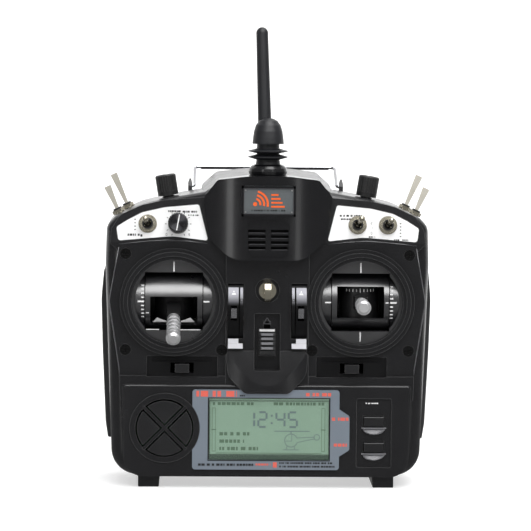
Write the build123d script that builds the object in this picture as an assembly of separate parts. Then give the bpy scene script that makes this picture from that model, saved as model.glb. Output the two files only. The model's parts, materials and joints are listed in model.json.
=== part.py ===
from build123d import *
import math
import os

# Hand-held radio control transmitter, modelled as it comes apart on a bench.
# Millimetres. X is to the operator's right, Y runs from the face to the back, Z is up.
# The dimensions below measure Y from the parting plane of the case; the written parts are moved
# so that the origin is on the ground under the middle of the overall width and depth.

# ---------------------------------------------------------------- driving dimensions
# Case: two shells that meet at y = 0, mirrored about x = 0.
WALL = 2.4
HALF_WIDTH = 91.9
BASE_Z = 6.0
FACE_Y = -17.5
BACK_Y = 40.0
SIDE_ROUND = 8.0
# Half outline as (x, z, corner radius), from the bottom centre round to the top centre.
CASE_HALF = [
    (87.6, BASE_Z, 15.0),
    (HALF_WIDTH, 127.0, 60.0),
    (91.2, 148.6, 8.0),
    (86.4, 160.4 - 14.4 * math.tan(math.radians(25.0)), 4.0),
    (72.0, 160.4, 20.0),
    (58.0, 163.9, 40.0),
    (30.0, 168.9, 0.0),
]
RIDGE_HALF = [(37.6, 158.0, 0.0), (37.6, 165.2, 4.0), (29.0, 172.9, 4.0), (12.0, 175.2, 30.0)]
RIDGE_FRONT_Y = -12.0
RIDGE_BACK_Y = 38.0
RIDGE_CLIMB = 4.3
SPINE_WIDTH = 50.0
SPINE_LOW_Z = 24.0
SPINE_HIGH_Z = 160.0
SPINE_Y = 52.0

# Front panels that stand forward of the case face.
DECK_Y = -20.0
DECK_LOW_Z = 60.0
CREASE_Z = 139.5
FACET_TILT = 9.0
DECK_HALF = [(83.3, DECK_LOW_Z, 1.0), (83.5, 67.9, 1.0), (89.2, 106.7, 3.0), (84.0, 137.6, 1.0)]
SHOULDER_HALF = [
    (84.0, 134.0, 0.0),
    (89.1, 139.0, 1.0),
    (88.4, 147.0, 4.0),
    (83.4, 154.7, 5.0),
    (71.5, 160.3, 15.0),
    (59.5, 163.0, 30.0),
    (30.0, 165.4, 0.0),
]
LEDGE_Y = -21.8
LEDGE_Z = 64.0
BLOCK_Y = -23.5
BLOCK_Z = 59.1
BLOCK_WIDTH = 81.8
COLUMN_Y = -22.0
COLUMN_WIDTH = 23.5
NOSE_Y = -27.4

# Console: the glossy hump, a vertical cylinder in front view cut to an outline.
CONSOLE_HALF = [
    (20.5, 130.2, 16.0),
    (32.5, 141.0, 3.0),
    (34.2, 151.0, 6.0),
    (36.4, 165.3, 2.5),
    (28.6, 175.2, 3.0),
    (12.0, 177.4, 30.0),
]
CONSOLE_CREST_Y = -30.0
CONSOLE_RADIUS = 76.0
CONSOLE_WALL = 3.0
GRILLE_SLOTS_Z = (137.2, 140.3, 143.6, 146.7)
SPEAKER_Z = 142.5

# Gimbals.
GIMBAL_X = 52.9
GIMBAL_Z = 105.8
PIVOT_Y = -2.0
OPENING_R = 23.8
RING_R = 30.5
DRUM_R = 17.0
DRUM_WALL = 2.0
DRUM_HALF = 16.2
SLOT_HALF = 16.5
CHEEK_R = 16.4
CHEEK_X = 16.7
CHEEK_END_R = 22.0
TRUNNION_R = 3.0
RUNNING = 0.05
WINDOW_HALF = 13.35
WINDOW_ANGLE = 32.0
CARRIER_R = 11.0
CARRIER_HALF = 9.5
PIN_R = 2.0
POST_SIDE = 7.5
POST_REACH = 24.0
STICK_REACH = 48.7
LEFT_STICK_DOWN = 22.6
SCREW_DX = 27.3
SCREW_DZ = 27.2

# Display and keys on the lower block.
LCD_X = (-32.8, 35.6)
LCD_Z = (16.4, 51.6)
PAD_X = -57.7
PAD_Z = 34.5
PAD_R = 16.2
PAD_BOSS_R = 19.8
PAD_RIB = 1.7
PAD_GAP = 1.0
KEY_GAP = 0.3
KEY_X = (55.1, 66.7)
KEY_ROWS = {"menu_button": (35.9, 41.5), "exit_button": (21.3, 26.7)}
KEY_RECESS = (51.1, 70.8, 12.4, 51.6)
BOARD_Y = -6.0

# Switches and knobs on the shoulders.
FACE_ROW_Z = 149.8
FACE_TOGGLE_X = {"toggle_face_left": -67.9, "toggle_face_inner": 50.7, "toggle_face_outer": 67.9}
FACE_KNOB_X = -50.7
TOP_KNOB_X = 56.5
TOP_KNOB_Y = 4.5
TOP_KNOB_HEIGHT = 12.2
TOP_KNOB_R = 5.9
TOP_KNOB_TILT = 9.0
CORNER_TILT = 25.0
CORNER_INNER = (79.6, 19.0)
CORNER_OUTER = (84.7, 7.0)
TOGGLE_THROW = 12.5

# Trims.
VTRIM_X = 18.0
VTRIM_Z = 101.0
VTRIM_HALF = 15.4
HTRIM_X = 48.0
HTRIM_Z = 69.2

# Neck strap eye, antenna, handle, feet.
HOOK_Z = 112.7
HOOK_HOLE_Y = -27.6
ANTENNA_Y = -6.0
ANTENNA_TURN = 22.0
ANTENNA_LEAN = 5.3
ANTENNA_PIN = (0.0, 4.6, 200.3)
HANDLE_Y = 46.0
HANDLE_Z = 168.2
HANDLE_X = 41.7
HANDLE_BAR = (70.0, 178.3)
WIRE_R = 0.9
BAR_R = 1.5
FOOT_X = (60.3, 72.7)
FOOT_Y = (-18.0, 35.0)

# Half way between the tip of a level stick and the back of the handle's bar.
MIDDLE_Y = (PIVOT_Y - STICK_REACH + HANDLE_BAR[0] + BAR_R) / 2

# Screws.
SCREW_HEAD_R = 3.0
SCREW_SHANK_R = 1.4

# Battery bay.
CELL_R = 7.1
CELL_LENGTH = 50.0
CELL_PITCH = 14.8
CELL_FIRST = (27.5, 38.9)
DOOR_HALF = 35.7
DOOR_TOP_Z = 94.0
BAY_HALF = 32.0


# ---------------------------------------------------------------- shape helpers
def block(x0, x1, y0, y1, z0, z1):
    """A box between its limits."""
    return Pos((x0 + x1) / 2, (y0 + y1) / 2, (z0 + z1) / 2) * Box(x1 - x0, y1 - y0, z1 - z0)


def rod(start, end, radius, end_radius=None):
    """A round bar, or a cone when its end radius differs, between two points."""
    start, end = Vector(*start), Vector(*end)
    place = Plane(origin=start, z_dir=end - start)
    length = (end - start).length
    align = (Align.CENTER, Align.CENTER, Align.MIN)
    if end_radius is None:
        return place * Cylinder(radius, length, align=align)
    return place * Cone(radius, end_radius, length, align=align)


def outline(corners, plane):
    """A closed face of (u, v, corner radius) points on a plane."""
    path = FilletPolyline(*[(u, v) for u, v, _ in corners], radius=[r for _, _, r in corners], close=True)
    return plane * make_face(path)


def facing(y):
    """The plane at y seen from the front: u is +X, v is +Z, and it faces the operator."""
    return Plane(origin=(0, y, 0), x_dir=(1, 0, 0), z_dir=(0, -1, 0))


def slab(corners, y_front, y_back):
    """An XZ outline made solid between two depths."""
    return extrude(outline(corners, facing(y_back)), amount=y_back - y_front)


def rectangle(x0, x1, z0, z1, corner_r):
    """The corners of an upright rectangle, all rounded alike."""
    return [(x0, z0, corner_r), (x1, z0, corner_r), (x1, z1, corner_r), (x0, z1, corner_r)]


def mirrored(half):
    """A half outline on the right, from the bottom up, closed with its mirror image."""
    return half + [(-u, v, r) for u, v, r in reversed(half)]


def both_sides(shape):
    """A shape and its mirror image about x = 0."""
    return [shape, mirror(shape, about=Plane.YZ)]


def side_profile(points, half_width):
    """A YZ outline made solid across the middle of the object."""
    face = make_face(Polyline(*[(0, y, z) for y, z in points], close=True))
    return extrude(face, amount=half_width, dir=(1, 0, 0), both=True)


def turned(points):
    """A solid of revolution about Z from (radius, z) points."""
    face = make_face(Polyline(*[(r, 0, z) for r, z in points], close=True))
    return revolve(face, axis=Axis.Z, revolution_arc=360)


def join(shapes):
    """One shape from many that touch or overlap."""
    whole = shapes[0]
    for shape in shapes[1:]:
        whole = whole + shape
    return whole


def cut(shape, tools):
    """A shape with every tool taken away."""
    for tool in tools:
        shape = shape - tool
    return shape


def write(name, shapes):
    """One STEP file per node, moved to the origin's frame; separate solids stay separate in it."""
    if not isinstance(shapes, (list, tuple)):
        shapes = [shapes]
    solids = [Pos(0, -MIDDLE_Y, 0) * solid for shape in shapes for solid in shape.solids()]
    whole = solids[0] if len(solids) == 1 else Compound(children=solids)
    export_step(whole, f"parts/{name}.step")


# The sloping facet above the crease, and the frames of the controls on it.
FACET = Plane(
    origin=(0, DECK_Y, CREASE_Z),
    x_dir=(1, 0, 0),
    z_dir=(0, -math.cos(math.radians(FACET_TILT)), math.sin(math.radians(FACET_TILT))),
)


def on_facet(x, z):
    """The control frame at a point of the facet: local Z leaves the panel, local Y is up."""
    up = (z - CREASE_Z) / math.cos(math.radians(FACET_TILT))
    return Plane(origin=FACET.from_local_coords((x, up, 0)), x_dir=FACET.x_dir, z_dir=FACET.z_dir)


def on_top(x, y, z, tilt):
    """The control frame on the upper edge: local Z leaves the case, leaning out by tilt degrees."""
    lean = math.radians(math.copysign(tilt, x))
    outward = (math.sin(lean), 0, math.cos(lean))
    sideways = (math.cos(lean), 0, -math.sin(lean))
    return Plane(origin=(x, y, z), x_dir=sideways, z_dir=outward)


def top_z(x):
    """Height of the case's upper edge at x."""
    points = sorted((u, v) for u, v, _ in CASE_HALF[2:])
    for (x0, z0), (x1, z1) in zip(points, points[1:]):
        if x0 <= abs(x) <= x1:
            return z0 + (z1 - z0) * (abs(x) - x0) / (x1 - x0)
    return points[-1][1]


CORNER_FRAMES = {
    f"toggle_{place}_{side}": on_top(sign * x, y, top_z(x), CORNER_TILT)
    for side, sign in (("left", -1), ("right", 1))
    for place, (x, y) in (("inner", CORNER_INNER), ("outer", CORNER_OUTER))
}
FACE_FRAMES = {name: on_facet(x, FACE_ROW_Z) for name, x in FACE_TOGGLE_X.items()}
FACE_KNOB_FRAME = on_facet(FACE_KNOB_X, FACE_ROW_Z)
TOP_KNOB_FRAMES = {
    f"knob_top_{side}": on_top(sign * TOP_KNOB_X, TOP_KNOB_Y, top_z(TOP_KNOB_X), TOP_KNOB_TILT)
    for side, sign in (("left", -1), ("right", 1))
}


# ---------------------------------------------------------------- case
def rounded_case(y_from, y_to, round_y):
    """The case outline between two depths, with its outer edge rounded at one end."""
    body = slab(mirrored(CASE_HALF), y_from, y_to)
    rim = [edge for edge in body.edges() if abs(edge.center().Y - round_y) < 0.01]
    return fillet(rim, SIDE_ROUND)


def ridge(y_from, y_to):
    """The crest behind the console, climbing towards the back, between two depths."""
    crest = Pos(0, -RIDGE_FRONT_Y, 0) * slab(mirrored(RIDGE_HALF), RIDGE_FRONT_Y - 20, BACK_Y + 20)
    crest = Pos(0, RIDGE_FRONT_Y, 0) * Rot(RIDGE_CLIMB, 0, 0) * crest
    return crest & block(-45, 45, y_from, y_to, 0, 200)


def above_facet():
    """The room in front of the sloping facets, over the whole width."""
    reach = 40
    slope = math.tan(math.radians(FACET_TILT))
    points = [(DECK_Y - 3, CREASE_Z - 20), (DECK_Y, CREASE_Z - 20), (DECK_Y, CREASE_Z)]
    points += [(DECK_Y + slope * reach, CREASE_Z + reach), (DECK_Y - 3, CREASE_Z + reach)]
    return side_profile(points, HALF_WIDTH + 5)


def front_envelope():
    """The front half as a solid: rounded case, deck, shoulders, ledge, lower block, column, nose."""
    body = rounded_case(FACE_Y, 0, FACE_Y) - above_facet()
    deck = slab(mirrored(DECK_HALF), DECK_Y, -8)
    shoulders = slab(mirrored(SHOULDER_HALF), DECK_Y - 1, -10) - above_facet()
    ledge = slab(mirrored([(83.0, 50.0, 1.0), (83.4, LEDGE_Z, 1.0)]), LEDGE_Y, -10)
    low_half = [(BLOCK_WIDTH - 1.2, BASE_Z + 0.6, 11.0), (BLOCK_WIDTH, BLOCK_Z, 2.0)]
    low = slab(mirrored(low_half), BLOCK_Y, -10)
    front_edges = [edge for edge in low.edges() if abs(edge.center().Y - BLOCK_Y) < 0.01]
    low = fillet(front_edges, 1.2)
    column = slab(mirrored([(COLUMN_WIDTH, 56.0, 0.0), (COLUMN_WIDTH, 140.0, 0.0)]), COLUMN_Y, -15)
    return join([body, ridge(RIDGE_FRONT_Y, 0), deck, shoulders, ledge, low, column, nose()])


def nose():
    """The convex tongue below the power switch that laps over the display frame."""
    front = slab(mirrored([(12.6, 54.4, 5.0), (22.0, 64.0, 9.0), (COLUMN_WIDTH, 78.6, 3.5)]), -34, -19)
    profile = [(-19, 54), (-26, 54), (-27.2, 56), (-27.4, 59), (-25.9, 66), (-24.3, 73), (-23.0, 78.4)]
    profile.append((-19, 79))
    bulge_radius = 62.0
    barrel_y = NOSE_Y + bulge_radius
    barrel = rod((0, barrel_y, 50), (0, barrel_y, 82), bulge_radius)
    return front & side_profile(profile, 26) & barrel


def rear_envelope():
    """The rear half as a solid, with the spine that holds the radio module and the batteries."""
    body = rounded_case(0, BACK_Y, BACK_Y)
    bevel = [(RIDGE_BACK_Y - 5, 181.9), (RIDGE_BACK_Y + 1, 175.9), (RIDGE_BACK_Y + 1, 181.9)]
    crest = ridge(0, RIDGE_BACK_Y) - side_profile(bevel, 45)
    spine = block(-SPINE_WIDTH, SPINE_WIDTH, BACK_Y - 8, SPINE_Y, SPINE_LOW_Z, SPINE_HIGH_Z)
    spine_edges = [e for e in spine.edges() if e.center().Y > BACK_Y]
    return join([body, crest, fillet(spine_edges, 4.0)])


def cavity(y_from, y_to):
    """The space inside the case between two depths, one wall in from the outline."""
    inner = offset(outline(mirrored(CASE_HALF), facing(y_to)), amount=-WALL)
    return extrude(inner, amount=y_to - y_from)


def front_cavities():
    """The steps of the space behind the face, so that each panel keeps a near even wall."""
    spaces = [cavity(-11.5, 0)]
    spaces.append(slab(mirrored([(81.0, 62.0, 3.0), (81.0, 137.0, 3.0)]), DECK_Y + 2.5, 0))
    spaces.append(slab(mirrored([(77.0, 11.0, 6.0), (78.5, 60.0, 2.0)]), BLOCK_Y + 2.7, 0))
    spaces.append(slab(mirrored([(30.0, 139.0, 2.0), (26.0, 171.5, 2.0)]), RIDGE_FRONT_Y + 2.0, 0))
    for side in (-1, 1):
        pocket = [(side * 34, 1.6, 2.0), (side * 84.5, 1.6, 2.0), (side * 84.5, 10.5, 3.0)]
        pocket += [(side * 70, 18.0, 3.0), (side * 36, 20.5, 2.0)]
        face = outline(pocket, FACET.offset(-3.2))
        spaces.append(extrude(face, amount=10, dir=-FACET.z_dir))
    return spaces


def switch_hole(frame, radius):
    """A through hole for a bushing or a shaft, along the control's own axis."""
    return frame * Pos(0, 0, -10) * Cylinder(radius, 24)


SCREW_SPOTS = [(side * (GIMBAL_X + out * SCREW_DX), GIMBAL_Z + up * SCREW_DZ)
               for side in (-1, 1) for out, up in ((1, 1), (1, -1), (-1, -1))]
CASE_SCREW_HALF = ((38.0, 157.0), (84.5, 66.0), (60.0, 13.2))
CASE_SCREW_SPOTS = [(side * x, z) for side in (-1, 1) for x, z in CASE_SCREW_HALF]
BUSHING_R = 3.0
MINI_BUSHING_R = 2.5


def front_shell():
    """The moulded face half, hollow, with every opening that a control comes through."""
    envelope = front_envelope()
    shell = cut(envelope, front_cavities())
    posts = [rod((x, FACE_Y, z), (x, 0, z), 3.5) & envelope for x, z in CASE_SCREW_SPOTS]
    shell = join([shell] + posts)
    tools = [rod((x, -9.5, z), (x, 1, z), 1.45) for x, z in CASE_SCREW_SPOTS]
    for side in (-1, 1):
        stick_x, level_x, upright_x = side * GIMBAL_X, side * HTRIM_X, side * VTRIM_X
        upright_z0, upright_z1 = VTRIM_Z - VTRIM_HALF - 0.2, VTRIM_Z + VTRIM_HALF + 0.2
        tools.append(rod((stick_x, -30, GIMBAL_Z), (stick_x, -8, GIMBAL_Z), 26.5))
        tools.append(rod((stick_x, -30, GIMBAL_Z), (stick_x, DECK_Y, GIMBAL_Z), RING_R + 0.05))
        tools.append(block(level_x - 20, level_x + 20, -30, -8, HTRIM_Z - 5.7, HTRIM_Z + 5.7))
        tools.append(block(upright_x - 4.6, upright_x + 4.6, -30, -8, upright_z0, upright_z1))
    for x, z in SCREW_SPOTS:
        tools.append(rod((x, -18.7, z), (x, -30, z), 3.2))
        tools.append(rod((x, -10, z), (x, -30, z), 1.6))
        tools.append(rod((x, -8, z), (x, DECK_Y + 2.5, z), 3.3))
    # Power switch: a sunk track with a slot for the slider's stem.
    tools.append(slab(mirrored([(7.3, 67.5, 1.0), (7.3, 99.6, 1.0)]), -40, COLUMN_Y + 3.6))
    tools.append(block(-2.0, 2.0, -30, -10, 77.0, 95.0))
    tools.append(rod((0, -40, HOOK_Z), (0, COLUMN_Y + 1.5, HOOK_Z), 6.8))
    tools.append(rod((0, -30, HOOK_Z), (0, -8, HOOK_Z), 2.0))
    tools.append(rod((0, -30, SPEAKER_Z), (0, -8, SPEAKER_Z), 12.0))
    # Display, direction keys and the two menu keys.
    tools.append(block(LCD_X[0] - 1.2, LCD_X[1] + 1.2, -30, -10, LCD_Z[0] - 1.0, LCD_Z[1] + 1.0))
    tools.append(slab(rectangle(*KEY_RECESS, 1.0), -30, BLOCK_Y + 1.2))
    for z0, z1 in KEY_ROWS.values():
        tools.append(block(KEY_X[0] - KEY_GAP, KEY_X[1] + KEY_GAP, -30, -10, z0 - KEY_GAP, z1 + KEY_GAP))
    # The two face plates sit in pockets on the facet.
    pockets = [outline(plate_corners(side, 0.15), FACET) for side in (-1, 1)]
    tools += [extrude(pocket, amount=1.0, dir=-FACET.z_dir) for pocket in pockets]
    tools += [switch_hole(frame, BUSHING_R + RUNNING) for frame in FACE_FRAMES.values()]
    tools.append(switch_hole(FACE_KNOB_FRAME, 3.6))
    shell = cut(shell, tools)
    boss = rod((PAD_X, BLOCK_Y - 0.8, PAD_Z), (PAD_X, -19, PAD_Z), PAD_BOSS_R)
    well = rod((PAD_X, -30, PAD_Z), (PAD_X, -10, PAD_Z), PAD_R + KEY_GAP)
    rib = Box(2 * PAD_R + 2, 3.6, PAD_RIB)
    cross = [Pos(PAD_X, -22.6, PAD_Z) * Rot(0, turn, 0) * rib for turn in (45, -45)]
    return join([shell + boss - well] + cross)


def rear_shell():
    """The moulded back half, hollow, with the battery bay, the module bay and the screw posts."""
    shell = rear_envelope() - cavity(0, BACK_Y - WALL)
    inside = SPINE_WIDTH - WALL
    shell = shell - block(-inside, inside, 20, SPINE_Y - 4.5, SPINE_LOW_Z + WALL, SPINE_HIGH_Z - WALL)
    shell = shell - slab(mirrored([(30.0, 139.0, 2.0), (26.0, 171.5, 2.0)]), 0, 25)
    shell = join([shell] + [rod((x, 0, z), (x, BACK_Y - 1, z), 3.5) for x, z in CASE_SCREW_SPOTS])
    tools = [rod((x, -1, z), (x, 60, z), 1.6) for x, z in CASE_SCREW_SPOTS]
    tools += [rod((x, 34, z), (x, 60, z), 3.2) for x, z in CASE_SCREW_SPOTS]
    tools.append(block(-BAY_HALF, BAY_HALF, 42, 60, 30, DOOR_TOP_Z))
    tools.append(block(-DOOR_HALF - 0.3, DOOR_HALF + 0.3, SPINE_Y - 2.1, 60, 0, DOOR_TOP_Z + 0.3))
    tools.append(block(-26.3, 26.3, 42, 60, 97.7, 152.3))
    tools += [switch_hole(frame, MINI_BUSHING_R + RUNNING) for frame in CORNER_FRAMES.values()]
    tools += [switch_hole(frame, 3.6) for frame in TOP_KNOB_FRAMES.values()]
    tools += [rod((x, 30, 30.0), (x, 60, 30.0), 5.1) for x in (-70, 70)]
    return cut(shell, tools)


def console():
    """The glossy hump: hollow behind, with a framed speaker grille."""
    hump = slab(mirrored(CONSOLE_HALF), CONSOLE_CREST_Y - 1, RIDGE_FRONT_Y)
    axis_y = CONSOLE_CREST_Y + CONSOLE_RADIUS
    hump = hump & rod((0, axis_y, 120), (0, axis_y, 185), CONSOLE_RADIUS)
    hollow = slab(mirrored([(17.0, 134.5, 3.0), (27.0, 145.0, 3.0), (28.0, 172.0, 3.0)]), -40, FACE_Y)
    hollow = hollow & rod((0, axis_y, 120), (0, axis_y, 185), CONSOLE_RADIUS - CONSOLE_WALL)
    hump = cut(hump, [front_envelope(), hollow])
    recess_depth = CONSOLE_CREST_Y + 1.6
    recess_half = [(11.0, 131.6, 4.0), (12.2, 150.5, 3.0), (8.0, 153.4, 6.0)]
    hump = hump - slab(mirrored(recess_half), -40, recess_depth)
    slots = [block(side * 6.4 - 4.9, side * 6.4 + 4.9, -40, FACE_Y + 1, z - 0.8, z + 0.8)
             for side in (-1, 1) for z in GRILLE_SLOTS_Z]
    return cut(hump, slots)


def badge_plate(console_solid):
    """A flat name plate with a raised rim, bedded on the convex console."""
    rim = slab(rectangle(-15.2, 15.2, 155.0, 172.2, 2.0), CONSOLE_CREST_Y - 0.9, CONSOLE_CREST_Y + 1.7)
    panel = slab(rectangle(-13.9, 13.9, 156.5, 170.7, 1.2), -40, CONSOLE_CREST_Y - 0.4)
    return rim - panel - console_solid


def plate_corners(side, grow):
    """Outline of a white face plate on the facet, grown by a clearance all round."""
    points = [(33.8, 1.1, 1.0), (54.0, 3.5, 40.0), (84.4, 0.9, 1.5), (85.5, 8.6, 2.0), (79.0, 12.7, 6.0)]
    points += [(70.9, 16.9, 10.0), (58.4, 19.8, 20.0), (39.0, 21.6, 1.5)]
    middle_u, middle_v = 60.0, 10.5
    corners = []
    for u, v, r in points:
        u += math.copysign(grow, u - middle_u)
        v += math.copysign(grow, v - middle_v)
        corners.append((side * u, v, r))
    return corners


def switch_panels():
    """White plates, flush in the facet, drilled for their switches and knob."""
    faces = [outline(plate_corners(side, 0), FACET.offset(-1.0)) for side in (-1, 1)]
    plates = [extrude(face, amount=1.0, dir=FACET.z_dir) for face in faces]
    holes = [switch_hole(frame, BUSHING_R + RUNNING) for frame in FACE_FRAMES.values()]
    holes.append(switch_hole(FACE_KNOB_FRAME, 3.6))
    return [cut(plate, holes) for plate in plates]


def side_grips(case):
    """Rubber pads bonded to the sides of the rear shell."""
    swell = [(85.0, 25.0, 0.0), (90.6, 25.0, 0.6), (92.0, 34.0, 15.0), (93.9, 77.0, 80.0)]
    swell += [(94.7, 106.0, 60.0), (93.3, 121.0, 8.0), (91.0, 128.0, 0.5), (86.0, 128.0, 0.0)]
    return [piece - case for piece in both_sides(slab(swell, 6, 34))]


def feet(case):
    """Two moulded rails under the case, which it stands on."""
    corners = [(FOOT_X[0] + 0.5, 0, 0.6), (FOOT_X[1], 0, 0.6), (FOOT_X[1], 14, 0), (FOOT_X[0] - 0.6, 14, 0)]
    return [piece - case for piece in both_sides(slab(corners, *FOOT_Y))]


def cross_recess(x, z, y0, y1):
    """The cross that a screwdriver turns, between two depths."""
    reach, half = 2.0, 0.35
    return block(x - reach, x + reach, y0, y1, z - half, z + half) + block(
        x - half, x + half, y0, y1, z - reach, z + reach)


def case_screws():
    """Six long self-tapping screws from the back."""
    screws = []
    for x, z in CASE_SCREW_SPOTS:
        head = rod((x, 34, z), (x, 36, z), SCREW_HEAD_R)
        shank = rod((x, -8, z), (x, 34, z), SCREW_SHANK_R)
        screws.append(head + shank - cross_recess(x, z, 35.2, 37))
    return screws


# ---------------------------------------------------------------- gimbals
def at_gimbal(side):
    """The gimbal's own frame, with its origin where the two stick axes cross."""
    return Pos(side * GIMBAL_X, PIVOT_Y, GIMBAL_Z)


def along_y(y_front, y_back, radius):
    """A disc or bar along Y, in the gimbal's frame."""
    return rod((0, y_front, 0), (0, y_back, 0), radius)


def gimbal_bezel():
    """The stepped ring round the stick opening: a flange on the deck and a sleeve through it."""
    deck, crest, step = DECK_Y - PIVOT_Y, -23.5 - PIVOT_Y, -22.3 - PIVOT_Y
    ring = along_y(step, deck, RING_R) + along_y(crest, deck, 28.4) + along_y(deck, deck + 6.0, 26.4)
    ring = ring - along_y(crest + 1.3, crest - 1, 26.0)
    return ring - along_y(crest - 1, deck + 7, OPENING_R)


def gimbal_frame(side):
    """The fixed frame: a slotted face disc, two bearing cheeks, and four screw lugs."""
    deck_inside = DECK_Y + 2.5 - PIVOT_Y
    body = block(-26.5, 26.5, -12.0, 17.0, -25.0, 25.0)
    face = along_y(-15.5, -11.5, OPENING_R - 0.1)
    opening = block(-SLOT_HALF, SLOT_HALF, -17, 20, -SLOT_HALF, SLOT_HALF)
    room = block(-SLOT_HALF - 0.5, SLOT_HALF + 0.5, -9.5, 20, -22.5, 22.5)
    lugs = [rod((u * SCREW_DX, deck_inside, v * SCREW_DZ), (u * SCREW_DX, -7, v * SCREW_DZ), 3.2)
            for u, v in ((1, 1), (1, -1), (-1, -1), (-1, 1)) if not (u * side < 0 and v > 0)]
    ears = block(-27.8, 27.8, -10.0, -7.0, -27.8, 27.8)
    recess = block(-26, 26, -17, 0, -SLOT_HALF, SLOT_HALF) & along_y(-17, 0, CHEEK_END_R + 0.2)
    frame = cut(join([body, face, ears] + lugs), [recess, opening, room])
    frame = join([frame] + gimbal_cheeks())
    holes = [rod((-30, 0, 0), (30, 0, 0), TRUNNION_R + RUNNING)]
    holes += [rod((u * SCREW_DX, -20, v * SCREW_DZ), (u * SCREW_DX, -5, v * SCREW_DZ), 1.45)
              for u in (-1, 1) for v in (-1, 1)]
    return cut(frame, holes)


def gimbal_cheeks():
    """The fixed half barrels that carry the drum's line on to either side of it."""
    front_half = along_y(-18, 0, CHEEK_END_R)
    barrels = [rod((u * CHEEK_X, 0, 0), (u * 24.0, 0, 0), CHEEK_R) for u in (-1, 1)]
    return [barrel & front_half for barrel in barrels]


def gimbal_drum():
    """The half drum that turns with up and down stick travel, with a window for the stick."""
    shell = rod((-DRUM_HALF, 0, 0), (DRUM_HALF, 0, 0), DRUM_R)
    inner = rod((-DRUM_HALF + DRUM_WALL, 0, 0), (DRUM_HALF - DRUM_WALL, 0, 0), DRUM_R - DRUM_WALL)
    sill = DRUM_R * math.sin(math.radians(WINDOW_ANGLE))
    window = block(-WINDOW_HALF, WINDOW_HALF, -DRUM_R - 1, -4, -sill, sill)
    back = block(-20, 20, 5, 20, -20, 20)
    drum = join([shell - inner - window - back] + [
        rod((u * (DRUM_HALF - DRUM_WALL), 0, 0), (u * 28.0, 0, 0), TRUNNION_R) for u in (-1, 1)])
    return drum - rod((0, 0, -20), (0, 0, 20), PIN_R + RUNNING)


def stick_carrier():
    """The upright barrel inside the drum that carries the stick's post from side to side."""
    barrel = rod((0, 0, -CARRIER_HALF), (0, 0, CARRIER_HALF), CARRIER_R)
    pins = rod((0, 0, -DRUM_R + 0.4), (0, 0, DRUM_R - 0.4), PIN_R)
    post = block(-POST_SIDE / 2, POST_SIDE / 2, -POST_REACH, 0, -POST_SIDE / 2, POST_SIDE / 2)
    socket = rod((0, -POST_REACH - 1, 0), (0, -POST_REACH + 8, 0), 2.0)
    return join([barrel, pins, post]) - socket


def stick():
    """The turned aluminium stick: a stud, a waisted shaft with ribs, and a crowned end."""
    stud = rod((0, -POST_REACH, 0), (0, -POST_REACH + 6, 0), 1.95)
    base = rod((0, -POST_REACH - 3, 0), (0, -POST_REACH, 0), 3.6)
    shaft = rod((0, -STICK_REACH + 1.5, 0), (0, -POST_REACH - 3, 0), 3.0)
    ribs = [rod((0, -y - 1.1, 0), (0, -y + 1.1, 0), 3.9) for y in (30.5, 34.5, 38.5, 42.5)]
    crown = rod((0, -STICK_REACH + 1.2, 0), (0, -STICK_REACH + 3.4, 0), 4.1) + rod(
        (0, -STICK_REACH, 0), (0, -STICK_REACH + 1.5, 0), 2.6, 4.1)
    return join([stud, base, shaft, crown] + ribs)


def gimbal_pot():
    """The vertical axis potentiometer, clipped on the outside cheek over the trunnion's end."""
    can = rod((26.5, 0, 0), (33.5, 0, 0), 6.8)
    return can - rod((20, 0, 0), (29.0, 0, 0), TRUNNION_R + RUNNING)


def gimbal_screws():
    """Six black pan head screws that hold the frames up against the deck."""
    screws = []
    for x, z in SCREW_SPOTS:
        head = rod((x, -20.4, z), (x, -18.7, z), SCREW_HEAD_R)
        shank = rod((x, -18.7, z), (x, -10.5, z), SCREW_SHANK_R)
        screws.append(head + shank - cross_recess(x, z, -21, -19.6))
    return screws


# ---------------------------------------------------------------- trims and power switch
def vertical_trim_shroud():
    """A housing with a face that bulges about a sideways axis, with a slot for the lever."""
    radius = 25.0
    crest = -25.6
    body = block(-4.3, 4.3, crest, -12.5, -VTRIM_HALF, VTRIM_HALF)
    body = body & rod((-6, crest + radius, 0), (6, crest + radius, 0), radius)
    slot = block(-0.9, 2.8, -30, -10, -5.1, 3.3)
    groove = block(-2.5, -1.9, -30, -21.5, -VTRIM_HALF, VTRIM_HALF)
    return body - slot - groove


def vertical_trim_ramp():
    """The sloping foot under an upright trim, notched at its inner top corner."""
    top, low = -VTRIM_HALF - 0.2, -VTRIM_HALF - 5.8
    ramp = side_profile([(COLUMN_Y, low), (COLUMN_Y - 3.6, low), (COLUMN_Y, top)], 4.3)
    return ramp - block(-5, -1.9, -30, COLUMN_Y, top - 2.7, top + 1)


def trim_lever():
    """A short ridged thumb lever on a stem."""
    thumb = block(-1.6, 1.6, -27.0, -21.0, -2.7, 2.7)
    stem = block(-1.0, 1.0, -21.0, -9.0, -1.5, 1.5)
    return thumb + stem


def horizontal_trim_shroud():
    """A housing with a face that bulges about an upright axis, with a slot for the lever."""
    radius = 68.0
    body = block(-19.9, 19.9, -22.6, -12.5, -5.6, 5.6)
    body = body & rod((0, -22.6 + radius, -7), (0, -22.6 + radius, 7), radius)
    step = block(-20, 20, -30, -20.4, 2.8, 6)
    return body - step - block(-6.6, 6.6, -30, -10, -3.6, 2.4)


def horizontal_trim_lever():
    """The sideways lever: a wide low thumb on a stem."""
    thumb = block(-4.0, 4.0, -25.0, -20.5, -3.0, 1.8)
    return thumb + block(-1.5, 1.5, -20.5, -9.0, -2.0, 1.0)


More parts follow.
